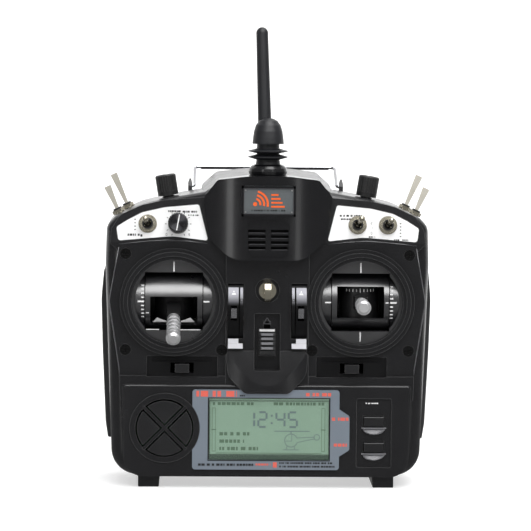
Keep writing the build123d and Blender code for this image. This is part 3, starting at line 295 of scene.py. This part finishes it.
# ------------------------------------------------------------------------------ piece helpers
def add_piece(name, body, material, shape):
    """Turns a bmesh into a named piece that rides on a body and takes its finish from a slot."""
    mesh = bpy.data.meshes.new(name)
    bmesh.ops.recalc_face_normals(shape, faces=shape.faces)
    shape.to_mesh(mesh)
    shape.free()
    mesh.materials.append(MATS[material])
    piece = bpy.data.objects.new(name, mesh)
    bpy.context.scene.collection.objects.link(piece)
    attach(piece, body)
    return piece


def raise_outline(shape, corners, place, low, high):
    """A prism on an outline of (u, v) corners; place turns (u, v, height) into a point."""
    floor = [shape.verts.new(place(u, v, low)) for u, v in corners]
    roof = [shape.verts.new(place(u, v, high)) for u, v in corners]
    shape.faces.new(roof)
    shape.faces.new(floor[::-1])
    for i in range(len(corners)):
        j = (i + 1) % len(corners)
        shape.faces.new((floor[i], floor[j], roof[j], roof[i]))


def print_marks(name, marks, place, body, material, height=0.05):
    """Printed or moulded marks as one piece: each is an outline that stands a little proud."""
    shape = bmesh.new()
    for corners in marks:
        raise_outline(shape, corners, place, MARK_ROOT, height)
    return add_piece(name, body, material, shape)


def bar(u, v, width, height, turn=0.0):
    """A rectangle about its centre, turned in degrees."""
    c, s = math.cos(math.radians(turn)), math.sin(math.radians(turn))
    a, b = width / 2, height / 2
    return [(u + p * c - q * s, v + p * s + q * c) for p, q in ((-a, -b), (a, -b), (a, b), (-a, b))]


def line(u0, v0, u1, v1, width):
    """A straight stroke between two points."""
    length = math.hypot(u1 - u0, v1 - v0)
    turn = math.degrees(math.atan2(v1 - v0, u1 - u0))
    return bar((u0 + u1) / 2, (v0 + v1) / 2, length, width, turn)


def dot(u, v, radius, sides=16):
    """A round dot."""
    steps = [2 * math.pi * i / sides for i in range(sides)]
    return [(u + radius * math.cos(a), v + radius * math.sin(a)) for a in steps]


def arc(u, v, radius, width, start, end, steps=14):
    """A curved stroke about a centre, from one angle to another in degrees."""
    angles = [math.radians(start + (end - start) * i / steps) for i in range(steps + 1)]
    outer = [(u + (radius + width / 2) * math.cos(a), v + (radius + width / 2) * math.sin(a)) for a in angles]
    inner = [(u + (radius - width / 2) * math.cos(a), v + (radius - width / 2) * math.sin(a)) for a in angles]
    return outer + inner[::-1]


def circle_line(u, v, radius, width):
    """A ring, as two half strokes."""
    return [arc(u, v, radius, width, 0, 180), arc(u, v, radius, width, 180, 360)]


def frame_line(u0, u1, v0, v1, width):
    """A rectangular line of four strokes, with its sides between its level strokes."""
    middle_u, middle_v = (u0 + u1) / 2, (v0 + v1) / 2
    return [
        bar(middle_u, v1, u1 - u0 + width, width),
        bar(middle_u, v0, u1 - u0 + width, width),
        bar(u0, middle_v, width, v1 - v0 - width),
        bar(u1, middle_v, width, v1 - v0 - width),
    ]


def dashes(u, v, width, height, seed):
    """A line of blank blocks that stands for small print."""
    chance = random.Random(seed)
    marks = []
    reach = u
    while reach < u + width:
        long = min(chance.uniform(0.45, 1.5) * height, u + width - reach)
        marks.append(bar(reach + long / 2, v, long, height))
        reach += long + height * chance.choice((0.3, 0.3, 0.9))
    return marks


# The strokes of a seven-part digit: top, two upper sides, middle, two lower sides, bottom.
DIGITS = {0: "abcefg", 1: "cf", 2: "acdeg", 4: "bcdf", 5: "abdfg", 9: "abcdfg"}


def digit(number, u, v, height):
    """The strokes of a seven-part digit, its lower left corner at (u, v)."""
    w, t = height * 0.55, height * 0.14
    strokes = {
        "a": bar(u + w / 2, v + height, w * 0.8, t),
        "b": bar(u, v + height * 0.75, t, height * 0.4),
        "c": bar(u + w, v + height * 0.75, t, height * 0.4),
        "d": bar(u + w / 2, v + height / 2, w * 0.8, t),
        "e": bar(u, v + height * 0.25, t, height * 0.4),
        "f": bar(u + w, v + height * 0.25, t, height * 0.4),
        "g": bar(u + w / 2, v, w * 0.8, t),
    }
    return [strokes[key] for key in DIGITS[number]]


def on_face(y):
    """Places marks on a flat front at depth y."""
    return lambda u, v, h: at(u, y - h, v)


def on_barrel(x, y, z, radius):
    """Places marks on a barrel about a sideways axis: v runs round it from its foremost line."""
    def place(u, v, h):
        reach, angle = radius + h, v / radius
        return at(x + u, y - reach * math.cos(angle), z + reach * math.sin(angle))

    return place


def on_facet(u, v, h):
    """Places marks on the sloping shoulder facets: v is the height above the ground."""
    up = (v - FACET_LOW_Z) / math.cos(FACET_TILT)
    y = DECK_Y + up * math.sin(FACET_TILT) - h * math.cos(FACET_TILT)
    return at(u, y, v + h * math.sin(FACET_TILT))


# ------------------------------------------------------------------------------ prints
def print_gimbals():
    """Centre ticks on the plates, a painted highlight along the lower edge of the left opening, travel scales
    on the cheeks, and a pointer on each drum.
    """
    for name, side in SIDES:
        x = side * GIMBAL_X
        ticks_and_edge_light = [bar(x, GIMBAL_Z + 19.7, 0.75, 5.6)]
        if side > 0:
            ticks_and_edge_light.append(bar(x, GIMBAL_Z - 19.6, 0.75, 5.4))
        else:
            # Painted highlight: two thin light lines along the lower edge of the left gimbal's opening, for
            # the light that edge catches.
            ticks_and_edge_light += [bar(x - 12.0, GIMBAL_Z - 16.0, 7.4, 0.45), bar(x + 9.4, GIMBAL_Z - 16.1, 11.6, 0.45)]
        plate = on_face(GIMBAL_PLATE_Y)
        print_marks(f"gimbal_ticks_and_edge_light_{name}", ticks_and_edge_light, plate, "case", "print_white")
        scale = [bar(side * 17.6, step * 2.35, 1.7, 0.75) for step in (-4, -3, -2, -1, 1, 2, 3, 4)]
        scale += [bar(side * 18.6, 0, 3.7, 0.95), bar(-side * 18.5, 0, 3.4, 0.8)]
        barrel = on_barrel(x, GIMBAL_Y, GIMBAL_Z, CHEEK_R)
        print_marks(f"travel_scale_{name}", scale, barrel, "case", "print_white")
        turn = math.radians(REST_TILT[name]) * DRUM_R
        pointer = [bar(side * 15.0, turn, 1.7, 0.6)]
        barrel = on_barrel(x, GIMBAL_Y, GIMBAL_Z, DRUM_R)
        print_marks(f"drum_pointer_{name}", pointer, barrel, f"drum_{name}", "print_white")


def build_window_sill_light():
    """Two painted highlights in the lower corners of the left drum's window, where its lower sill reflects
    the light from above, on dark strips of painted shade.
    """
    radius = DRUM_R - 1.0
    barrel = on_barrel(-GIMBAL_X, GIMBAL_Y, GIMBAL_Z, radius)
    window, low, high = (radius * math.radians(angle) for angle in (-55.5, -48.5, -36.8))
    peak = high * 0.62 + low * 0.38
    # Painted highlight: pale triangles for the light the window's sill reflects.
    sill_highlights = [
        [(s * 4.0, low + 0.6), (s * 4.2, low), (s * 11.9, low), (s * 9.4, high), (s * 7.0, peak)]
        for s in (-1, 1)
    ]
    print_marks("window_sill_highlights", sill_highlights, barrel, "drum_left", "print_white", height=0.3)
    # Painted shade: dark strips under the highlights, for the sill's shaded lower lip.
    sill_shade = [bar(s * 8.0, (low + window) / 2, 7.0, low - window) for s in (-1, 1)]
    print_marks("window_sill_shade", sill_shade, barrel, "drum_left", "inner_black", height=0.3)


def print_stick_tips():
    """A dark dimple and a fine ring turned in the end of each stick."""
    for name, side in SIDES:
        tilt = math.radians(REST_TILT[name])

        def place(u, v, h, x=side * GIMBAL_X, tilt=tilt):
            reach = STICK_TIP + h
            y = GIMBAL_Y - reach * math.cos(tilt) + v * math.sin(tilt)
            return at(x + u, y, GIMBAL_Z + reach * math.sin(tilt) + v * math.cos(tilt))

        marks = [dot(0, 0, 0.85)] + circle_line(0, 0, 2.1, 0.3)
        stick = f"stick_{name}"
        print_marks(f"stick_tip_{name}", marks, place, stick, "tip_dark", height=0.02)


def print_stick_scales():
    """A fan of nine ticks on the barrel inside each drum's window, above the stick."""
    for name, side in SIDES:
        turn = math.radians(REST_TILT[name])
        marks = []
        for step in range(-4, 5):
            angle = math.radians(11.0 * step)
            height = 2.2 if step == 0 else 1.5
            marks.append(bar(CARRIER_R * angle, 6.4, 0.45, height))

        def place(u, v, h, x=side * GIMBAL_X, turn=turn):
            reach, swing = CARRIER_R + h, u / CARRIER_R
            depth = -reach * math.cos(swing)
            y = depth * math.cos(turn) - v * math.sin(turn)
            z = v * math.cos(turn) + depth * math.sin(turn)
            return at(x + reach * math.sin(swing), GIMBAL_Y + y, GIMBAL_Z + z)

        print_marks(f"stick_scale_{name}", marks, place, f"stick_{name}", "print_white")


def on_ramp(u, v, h):
    """Places marks on the sloping feet under the upright trims: v is the height from the trims' middle."""
    return at(u, COLUMN_Y - RAMP_OUT * (RAMP_TOP - v) / RAMP_HEIGHT - h, TRIM_Z + v)


def print_trims():
    """Each upright trim's triangle and small ring, a painted highlight on its upper face, and a pale painted
    reflection on its foot.
    """
    for name, side in SIDES:
        barrel = on_barrel(side * TRIM_X, TRIM_Y, TRIM_Z, TRIM_R)
        triangle = [(side * 1.0 - 1.3, 9.6), (side * 1.0 + 1.3, 9.6), (side * 1.0, 12.2)]
        print_marks(f"trim_triangle_{name}", [triangle], barrel, "case", "print_white")
        ring = circle_line(-side * 3.35, 6.4, 0.75, 0.35)
        print_marks(f"trim_ring_{name}", ring, barrel, "case", "inner_black")
        # Painted highlight: bars on the upper face, lighter towards the top, for the light the glossy barrel
        # catches from above.
        sheen_bars = []
        pitch = 0.8
        for step in range(13):
            height = 4.0 + pitch * step
            sheen_bars += [bar(side * 1.2, height, 5.8, pitch), bar(-side * 3.4, height, 1.5, pitch)]
        print_marks(f"trim_painted_sheen_{name}", sheen_bars, barrel, "case", "trim_top_highlight", height=0.02)
        # Painted reflection: pale patches on each trim's up-facing foot, for the light from above that it
        # reflects.
        foot_reflection = [bar(side * TRIM_X, -19.6, 8.3, 2.7), bar(side * (TRIM_X + 1.2), -16.95, 5.8, 2.5)]
        print_marks(f"trim_foot_shine_{name}", foot_reflection, on_ramp, "case", "pale_foot_reflection", height=0.04)


def print_power_switch():
    """The slider's white index line, painted highlights on its ribs, and the moulded arrow above it in the
    light grey that paints edge highlights.
    """
    index = [bar(0, 89.9, 8.6, 1.25)]
    print_marks("switch_line", index, on_face(SLIDER_Y), "power_slider", "print_white")
    arrow = [line(s * 1.9, 93.8, 0, 97.0, 0.55) for s in (-1, 1)] + [line(-2.1, 93.5, 2.1, 93.5, 0.5)]
    print_marks("switch_arrow", arrow, on_face(TRACK_Y), "case", "edge_highlight_grey", height=0.06)
    # Painted highlight: pale bars on the slider's ribs for the light their edges catch.
    rib_highlights = [bar(0, z, 6.6, 1.3) for z in (80.15, 82.85, 85.55, 87.95)]
    print_marks("slider_rib_highlights", rib_highlights, on_face(THUMB_Y), "power_slider", "lip_reflection_grey", height=0.03)


def print_panels():
    """Small black print beside the face switches and the face knob: blanks, ticks and numbers."""
    left = dashes(-56.4, 156.9, 7.0, 1.0, 1) + dashes(-48.2, 156.7, 8.0, 1.0, 2)
    left += dashes(-45.0, 154.7, 5.8, 0.8, 3)
    left += dashes(-79.2, 143.6, 6.8, 1.2, 4) + [bar(-71.4, 143.2, 1.1, 1.3)]
    left += [bar(-75.0, z, 0.8, 0.55) for z in (152.2, 150.3, 148.4, 146.5)]
    for step in range(11):
        turn = -60 + 30 * step
        u = FACE_KNOB_X + 7.0 * math.cos(math.radians(turn))
        v = FACE_KNOB_Z + 7.0 * math.sin(math.radians(turn))
        left.append(bar(u, v, 0.35, 0.9, turn - 90))
    left += digit(0, -57.6, 143.2, 1.3) + digit(9, -44.9, 143.2, 1.3)
    print_marks("panel_print_left", left, on_facet, "case", "inner_black")
    right = dashes(40.6, 155.0, 12.5, 1.0, 5) + dashes(41.2, 153.1, 9.0, 0.9, 6)
    right += digit(2, 58.2, 150.3, 1.3) + digit(1, 58.2, 147.5, 1.3) + digit(0, 58.2, 144.7, 1.3)
    right += dashes(57.0, 143.2, 3.6, 0.9, 7) + dashes(57.0, 141.9, 3.6, 0.9, 8)
    right += [bar(75.0, z, 0.8, 0.6) for z in (150.8, 149.0, 147.2, 145.4, 143.6)]
    right += dashes(71.4, 141.6, 3.0, 0.8, 9) + dashes(76.0, 141.6, 3.4, 0.8, 10)
    print_marks("panel_print_right", right, on_facet, "case", "inner_black")


def print_badge():
    """A generic radio waves sign on the badge plate, with its pips and rim, a painted highlight along the
    rim, and painted highlights on the grille's lips.
    """
    face = on_face(BADGE_Y)
    waves = [dot(-7.6, 162.0, 1.15)]
    waves += [arc(-7.6, 162.0, radius, 1.15, -12, 78) for radius in (2.9, 5.0, 7.1)]
    waves += [line(1.4, 160.6 + 2.2 * step, 9.0 - 1.2 * step, 160.6 + 2.2 * step, 1.0) for step in range(4)]
    print_marks("badge_waves", waves, face, "case", "print_orange", height=0.12)
    print_marks("badge_line", dashes(-9.6, 158.4, 19.0, 0.9, 21), face, "case", "inner_black")
    pips = [dot(x, z, 0.5) for x in (-13.0, 13.0) for z in (157.5, 169.7)]
    print_marks("badge_pips", pips, face, "case", "pin_steel", height=0.2)
    rim = [bar(0, z, 30.4, 1.4) for z in (155.7, 171.5)]
    rim += [bar(x, 163.6, 1.2, 17.2) for x in (-14.6, 14.6)]
    print_marks("badge_rim", rim, on_face(BADGE_RIM_Y), "case", "console_gloss", height=0.08)
    # Painted highlight: a light line inside the rim for the light its edge catches.
    shine = frame_line(-13.85, 13.85, 156.55, 170.65, 0.3)
    print_marks("badge_rim_highlight", shine, on_face(BADGE_RIM_Y - 0.04), "case", "edge_highlight_grey")
    # Painted highlight: light lines on the grille slots' lower lips.
    lip_highlights = [bar(s * 6.4, z - 1.0, 9.0, 0.3) for s in (-1, 1) for z in (137.2, 140.3, 143.6, 146.7)]
    print_marks("grille_lip_highlights", lip_highlights, on_face(GRILLE_Y), "case", "edge_highlight_grey", height=0.1)


def print_bezel():
    """Red and black blank print round the display."""
    face = on_face(BEZEL_Y)
    red = dashes(-39.8, 54.2, 7.0, 3.3, 31) + dashes(-30.6, 54.2, 13.6, 3.3, 32)
    red += dashes(22.2, 54.0, 14.2, 1.9, 33) + dashes(37.0, 40.1, 9.4, 1.8, 34)
    red += dashes(38.2, 25.3, 7.4, 1.7, 35) + dashes(-6.0, 14.0, 8.4, 1.1, 36)
    red.append(bar(4.9, 13.8, 2.2, 3.0))
    print_marks("bezel_print_red", red, face, "case", "print_red")
    black = dashes(-38.6, 13.8, 15.0, 1.3, 37) + dashes(-22.4, 13.8, 15.0, 1.3, 38)
    black += dashes(7.4, 14.9, 30.0, 1.0, 39) + dashes(7.4, 12.9, 32.0, 1.0, 40)
    black += dashes(-14.0, 53.2, 1.6, 0.9, 41) + dashes(-15.2, 53.2, 1.0, 0.9, 42)
    black += [bar(1.4, z, 69.2, 0.5) for z in (16.2, 51.8)]
    black += [bar(x, 34.0, 0.5, 36.1) for x in (-33.0, 35.8)]
    print_marks("bezel_print_black", black, face, "case", "inner_black")


def build_display():
    """The liquid crystal picture: trim bars, a timer, menu lines and a small helicopter."""
    thickness = 0.08
    glass = bmesh.new()
    raise_outline(glass, bar(1.4, 34.0, 67.8, 34.6), on_face(LCD_Y), 0.0, thickness)
    add_piece("display_glass", "case", "lcd_green", glass)
    face = on_face(LCD_Y - thickness)
    shade = [bar(1.4, 17.9, 67.6, 3.4), bar(-32.2, 33.2, 0.5, 34.0), bar(1.4, 50.0, 67.6, 0.5)]
    print_marks("display_shade", shade, face, "case", "lcd_shade", height=0.02)
    ink = dashes(-30.4, 48.4, 23.0, 1.7, 51) + dashes(4.0, 48.4, 28.6, 1.7, 52)
    for x in (-29.8, 32.2):
        ink += [bar(x - 0.9, 33.6, 0.25, 24.8), bar(x + 0.9, 33.6, 0.25, 24.8)]
        ink += [bar(x, 33.6, 2.6, 0.5), bar(x, 21.3, 2.0, 0.25), bar(x, 45.9, 2.0, 0.25)]
    for z, width, seed in ((31.2, 17.0, 53), (27.0, 14.0, 54), (22.8, 22.0, 55)):
        ink += dashes(-26.6, z, width, 1.9, seed)
    ink.append(bar(1.4, 20.2, 60.0, 0.35))
    print_marks("display_ink", ink, face, "case", "lcd_ink", height=0.03)
    timer = [bar(3.0, z, 1.1, 1.1) for z in (37.4, 41.6)]
    for number, x in ((1, -11.6), (2, -4.6), (4, 5.6), (5, 12.6)):
        timer += digit(number, x, 35.2, 8.4)
    print_marks("display_timer", timer, face, "case", "lcd_ink_soft", height=0.03)
    toy = helicopter(14.0, 27.6)
    print_marks("display_helicopter", toy, face, "case", "lcd_ink_soft", height=0.03)


def helicopter(u, v):
    """A line drawing of a model helicopter: rotor, mast, cabin, boom, tail rotor and skids."""
    cabin = [arc(u, v, 3.6, 0.4, 20, 200), arc(u, v - 0.2, 3.6, 0.4, 200, 340)]
    cabin += [line(u - 3.2, v - 0.4, u + 0.4, v - 0.4, 0.3), line(u + 0.4, v - 0.4, u + 0.4, v + 3.2, 0.3)]
    boom = [line(u + 3.2, v + 1.4, u + 13.4, v + 1.9, 0.35), line(u + 3.4, v - 1.2, u + 13.4, v + 0.9, 0.35)]
    tail = circle_line(u + 14.6, v + 1.8, 1.6, 0.4)
    rotor = [line(u - 9.5, v + 5.2, u + 10.5, v + 5.2, 0.5), line(u, v + 3.6, u, v + 5.2, 0.6)]
    skids = [line(u - 4.6, v - 5.4, u + 4.4, v - 5.4, 0.4), line(u - 2.2, v - 3.2, u - 2.8, v - 5.4, 0.35)]
    skids += [line(u + 1.8, v - 3.2, u + 2.2, v - 5.4, 0.35)]
    return cabin + boom + tail + rotor + skids


# ------------------------------------------------------------------------------ moulded and turned detail
def build_key_lips():
    """Under each menu key, a thin ledge and a half-moon scoop that faces up, both light grey as a painted
    reflection of the light above.
    """
    radius, root, tip = 6.3, KEY_FLOOR_Y - 0.02, KEY_FLOOR_Y - 1.9
    for name, top in (("menu", 35.2), ("exit", 20.5)):
        shape = bmesh.new()
        raise_outline(shape, bar(KEY_X, top - 0.35, 14.0, 0.7), on_face(KEY_FLOOR_Y), 0.0, 1.3)
        rim = [math.radians(180 + 12 * i) for i in range(16)]
        back, front, under = [], [], []
        for a in rim:
            x, drop = KEY_X + radius * math.cos(a), math.sin(a)
            back.append(shape.verts.new(at(x, root, top - 0.5)))
            front.append(shape.verts.new(at(x, tip, top - 0.5 + 3.0 * drop)))
            under.append(shape.verts.new(at(x, root, top - 0.9 + 3.4 * drop)))
        for i in range(len(rim) - 1):
            shape.faces.new((back[i], back[i + 1], front[i + 1], front[i]))
            shape.faces.new((front[i], front[i + 1], under[i + 1], under[i]))
        bmesh.ops.remove_doubles(shape, verts=shape.verts, dist=1e-6)
        add_piece(f"key_lip_{name}", "case", "lip_reflection_grey", shape)
    label = dashes(56.2, 48.9, 7.0, 0.7, 61)
    print_marks("key_label", label, on_face(KEY_FLOOR_Y), "case", "print_white")


def knob_top(centre, outward, sideways, radius, name, body, pointer_turn):
    """A turned disc on a knob's end: fine rings round a hub, and a raised pointer line."""
    ahead = outward.cross(sideways)
    shape = bmesh.new()
    sides, rings = 64, 22
    rows = []
    for ring in range(rings + 1):
        reach = radius * (ring + 0.4) / (rings + 0.4)
        height = (0.10 if ring % 2 else 0.02) + 0.12 * (1 - (ring / rings) ** 2)
        row = []
        for i in range(sides):
            angle = 2 * math.pi * i / sides
            across = sideways * reach * math.cos(angle) + ahead * reach * math.sin(angle)
            row.append(shape.verts.new(centre + MM * (across + outward * height)))
        rows.append(row)
    shape.faces.new(rows[0])
    for inner, outer in zip(rows, rows[1:]):
        for i in range(sides):
            j = (i + 1) % sides
            shape.faces.new((inner[i], outer[i], outer[j], inner[j]))
    low = [shape.verts.new(v.co - outward * 0.3 * MM) for v in rows[-1]]
    for i in range(sides):
        j = (i + 1) % sides
        shape.faces.new((rows[-1][i], low[i], low[j], rows[-1][j]))
    shape.faces.new(low[::-1])
    add_piece(f"{name}_disc", body, "spun_black", shape)
    turn = math.radians(pointer_turn)
    along = sideways * math.sin(turn) + ahead * math.cos(turn)
    across = sideways * math.cos(turn) - ahead * math.sin(turn)

    def place(u, v, h):
        return centre + MM * (across * u + along * v + outward * (h + 0.1))

    pointer = [bar(0, 0, 0.55, 2 * radius - 0.8)]
    print_marks(f"{name}_pointer", pointer, place, body, "print_white", height=0.16)


def build_knob_tops():
    """The ends of the face knob and of the two top knobs."""
    outward = Vector((0, -math.cos(FACET_TILT), math.sin(FACET_TILT)))
    centre = on_facet(FACE_KNOB_X, FACE_KNOB_Z, FACE_KNOB_RISE)
    knob_top(centre, outward, Vector((1, 0, 0)), 4.9, "face_knob", "knob_face", 10.0)
    for name, side in SIDES:
        lean = math.radians(TOP_KNOB_LEAN * side)
        outward = Vector((math.sin(lean), 0, math.cos(lean)))
        sideways = Vector((math.cos(lean), 0, -math.sin(lean)))
        centre = at(side * TOP_KNOB_X, TOP_KNOB_Y, TOP_KNOB_Z) + outward * TOP_KNOB_RISE * MM
        knob_top(centre, outward, sideways, 5.1, f"top_knob_{name}", f"knob_top_{name}", 15.0 * side)


def section_reach(mesh_object, z):
    """The largest |x| of a node's mesh at a height, in metres."""
    reach = 0.0
    mesh = mesh_object.data
    for edge in mesh.edges:
        a, b = (mesh.vertices[i].co for i in edge.vertices)
        if (a.z - z) * (b.z - z) <= 0 and a.z != b.z:
            mix = (z - a.z) / (b.z - a.z)
            reach = max(reach, abs(a.x + (b.x - a.x) * mix))
    return reach


def build_grips():
    """Ribbed rubber pads in place of the plain ones: fine level ribs inside a smooth border."""
    low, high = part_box("side_grips")
    pitch, depth, border = 1.3 * MM, 0.35 * MM, 1.8 * MM
    rows = int((high.z - low.z) / pitch * 4)
    heights = [low.z + (high.z - low.z) * (i + 0.02) / (rows + 0.04) for i in range(rows + 1)]
    reaches = [section_reach(NODES["side_grips"], z) for z in heights]
    columns = [low.y, low.y + border * 0.5, low.y + border, low.y + border * 1.2]
    columns += [low.y + high.y - y for y in reversed(columns)]
    for name, side in SIDES:
        shape = bmesh.new()
        grid = []
        for i, (z, reach) in enumerate(zip(heights, reaches)):
            inside = border < z - low.z < high.z - low.z - border
            row = []
            for k, y in enumerate(columns):
                sunk = depth if inside and 3 <= k <= 4 and i % 4 in (2, 3) else 0.0
                edge = 0.5 * MM if k in (0, len(columns) - 1) else 0.0
                row.append(shape.verts.new((side * (reach - sunk - edge), y, z)))
            grid.append(row)
        root = side * GRIP_ROOT_X * MM
        back = [[shape.verts.new((root, columns[k], z)) for k in (0, -1)] for z in heights]
        last = len(columns) - 1
        for i in range(rows):
            for k in range(last):
                shape.faces.new((grid[i][k], grid[i][k + 1], grid[i + 1][k + 1], grid[i + 1][k]))
            shape.faces.new((back[i][0], grid[i][0], grid[i + 1][0], back[i + 1][0]))
            shape.faces.new((grid[i][last], back[i][1], back[i + 1][1], grid[i + 1][last]))
            shape.faces.new((back[i][1], back[i][0], back[i + 1][0], back[i + 1][1]))
        for i in (0, rows):
            shape.faces.new([back[i][0]] + grid[i] + [back[i][1]])
        piece = add_piece(f"grip_{name}", "case", "grip_rubber", shape)
        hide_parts("side_grips")


def build_bead(name, points, radius, body, material):
    """A thin moulded bead along a line of points."""
    shape = bmesh.new()
    sides = 8
    rings = []
    for index, point in enumerate(points):
        before, after = points[max(0, index - 1)], points[min(len(points) - 1, index + 1)]
        along = (after - before).normalized()
        across = along.cross(Vector((0, 1, 0))).normalized()
        out = across.cross(along)
        ring = []
        for i in range(sides):
            angle = 2 * math.pi * i / sides
            offset = across * math.cos(angle) + out * math.sin(angle)
            ring.append(shape.verts.new(point + radius * MM * offset))
        rings.append(ring)
    for first, second in zip(rings, rings[1:]):
        for i in range(sides):
            j = (i + 1) % sides
            shape.faces.new((first[i], second[i], second[j], first[j]))
    shape.faces.new(rings[0][::-1])
    shape.faces.new(rings[-1])
    piece = add_piece(name, body, material, shape)
    for face in piece.data.polygons:
        face.use_smooth = True


def build_deck_edges():
    """Beads along the deck's pointed outer edges and along the crease above the gimbals, light grey as a
    painted edge highlight.
    """
    edge = ((83.4, 64.6), (83.7, 68.2), (86.4, 86.0), (89.1, 104.0),
            (89.2, 106.7), (88.9, 109.0), (86.4, 123.4), (84.1, 136.6))
    crease = ((84.0, 138.3), (76.0, 139.2), (66.0, 140.2), (56.2, 140.8), (45.0, 140.2), (34.0, 138.9))
    for name, side in SIDES:
        points = [at(side * x, DECK_Y + 0.1, z) for x, z in edge]
        build_bead(f"deck_edge_{name}", points, 0.32, "case", "edge_highlight_grey")
        points = [at(side * x, DECK_Y + 0.05, z) for x, z in crease]
        build_bead(f"crease_edge_{name}", points, 0.22, "case", "edge_highlight_grey")


def build_back_detail():
    """A blank label on the radio module and a moulded arrow on the battery door."""
    label = bmesh.new()
    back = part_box("rf_module")[1].y

    def behind(u, v, h):
        return Vector((u * MM, back + h * MM, v * MM))

    raise_outline(label, bar(0, 129, 34, 24), behind, -0.02, 0.1)
    add_piece("module_label", "case", "print_white", label)
    lines = dashes(-14.5, 136.5, 20.0, 1.6, 71) + dashes(-14.5, 132.6, 28.0, 1.0, 72)
    lines += dashes(-14.5, 129.8, 26.0, 1.0, 73) + dashes(-14.5, 127.0, 22.0, 1.0, 74)
    lines += [bar(-9.0 + 3.0 * i, 121.0, 0.5 + 0.4 * (i % 3), 4.6) for i in range(8)]

    def on_label(u, v, h):
        return behind(u, v, h + 0.1)

    print_marks("module_print", lines, on_label, "case", "inner_black")
    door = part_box("battery_door")[1].y - 0.9 * MM

    def on_door(u, v, h):
        return Vector((u * MM, door + h * MM, v * MM))

    arrow = [[(-5.0, 72.0), (5.0, 72.0), (0.0, 65.0)], bar(0, 75.4, 3.0, 5.0)]
    print_marks("door_arrow", arrow, on_door, "battery_door", "case_black", height=0.45)


def build_details():
    """Every piece that is added to the frame."""
    print_gimbals()
    print_stick_scales()
    build_window_sill_light()
    print_stick_tips()
    print_trims()
    print_power_switch()
    print_panels()
    print_badge()
    print_bezel()
    build_display()
    build_key_lips()
    build_knob_tops()
    build_grips()
    build_deck_edges()
    build_back_detail()


build_details()


# ------------------------------------------------------------------------------ camera and light
# The lens in millimetres, its distance and places in metres, and the view's turns in degrees.
LENS, SENSOR, DISTANCE = 189.6, 36.0, 1.6
RISE, SWING, ROLL = 4.5, -1.397, 0.495
SKY_LOW, SKY_HIGH = 0.22, 0.26
PAPER_GLOW = 0.55


def place_camera():
    """A long lens 1.6 m away, a little above and to the left of the face, turned half a degree."""
    rise, swing, roll = (math.radians(angle) for angle in (RISE, SWING, ROLL))
    target = at(-0.755, 0, 125.14)
    back = Vector((math.sin(swing) * math.cos(rise), -math.cos(swing) * math.cos(rise), math.sin(rise)))
    right = (-back).cross(Vector((0, 0, 1))).normalized()
    up = right.cross(-back)
    turned_right = right * math.cos(roll) + up * math.sin(roll)
    turned_up = up * math.cos(roll) - right * math.sin(roll)
    data = bpy.data.cameras.new("camera")
    data.lens, data.sensor_width = LENS, SENSOR
    data.clip_end = 20.0
    camera = bpy.data.objects.new("camera", data)
    camera.matrix_world = Matrix.Translation(target + back * DISTANCE) @ Matrix(
        (turned_right, turned_up, back)).transposed().to_4x4()
    bpy.context.scene.collection.objects.link(camera)
    bpy.context.scene.camera = camera


def softbox(name, where, size, power, aim=(0, 0, 0.12)):
    """A rectangular area light that looks at the object."""
    data = bpy.data.lights.new(name, "AREA")
    data.shape = "RECTANGLE"
    data.size, data.size_y = size
    data.energy = power
    light = bpy.data.objects.new(name, data)
    light.location = where
    light.rotation_euler = (Vector(aim) - Vector(where)).to_track_quat("-Z", "Y").to_euler()
    bpy.context.scene.collection.objects.link(light)


def place_floor():
    """A glowing table top under the object that shiny surfaces don't see, and a curved backdrop behind."""
    half, front, join = 6.0, -0.36, 0.30
    depth, height, bend, steps = 3.0, 5.0, 1.2, 12
    sweep = [(join, 0.0), (depth - bend, 0.0)]
    for i in range(1, steps + 1):
        angle = math.pi / 2 * i / steps
        sweep.append((depth - bend + bend * math.sin(angle), bend - bend * math.cos(angle)))
    sweep.append((depth, height))
    paper = surface("studio_paper", (0.60, 0.60, 0.60), 0.8, grain=120, bump=0.01, tint=0.005)
    lit = paper.node_tree.nodes["Principled BSDF"]
    lit.inputs["Emission Color"].default_value = (1, 1, 1, 1)
    lit.inputs["Emission Strength"].default_value = PAPER_GLOW
    for name, profile in (("table", [(front, 0.0), (join, 0.0)]), ("backdrop", sweep)):
        mesh = bpy.data.meshes.new(f"studio_{name}")
        shape = bmesh.new()
        rows = [[shape.verts.new((x, y, z)) for y, z in profile] for x in (-half, half)]
        for i in range(len(profile) - 1):
            shape.faces.new((rows[0][i], rows[1][i], rows[1][i + 1], rows[0][i + 1]))
        shape.to_mesh(mesh)
        shape.free()
        for face in mesh.polygons:
            face.use_smooth = True
        mesh.materials.append(paper)
        stage = bpy.data.objects.new(f"studio_{name}", mesh)
        bpy.context.scene.collection.objects.link(stage)
        stage.visible_glossy = name == "backdrop"


def light_studio():
    """A dim room, a broad light overhead and in front, and two narrow side lights for long highlights."""
    world = bpy.data.worlds.new("studio")
    world.use_nodes = True
    tree = world.node_tree
    sky = remap(tree, height_within(tree), -0.1, 0.9, SKY_LOW, SKY_HIGH)
    tree.nodes["Background"].inputs["Color"].default_value = (1, 1, 1, 1)
    tree.links.new(sky, tree.nodes["Background"].inputs["Strength"])
    bpy.context.scene.world = world
    softbox("overhead", (0.25, -0.1, 1.5), (1.1, 0.8), 13)
    softbox("front_top", (0.25, -0.95, 1.1), (1.4, 0.8), 17)
    softbox("side_left", (-0.85, -1.35, 0.35), (0.16, 1.2), 1.6)
    softbox("side_right", (0.72, -1.4, 0.35), (0.12, 1.2), 0.8)
    softbox("backdrop_wash", (0.0, 1.0, 1.9), (3.5, 0.8), 60, aim=(0, 2.9, 0.6))


place_camera()
place_floor()
light_studio()
bpy.context.scene.view_settings.view_transform = "Standard"
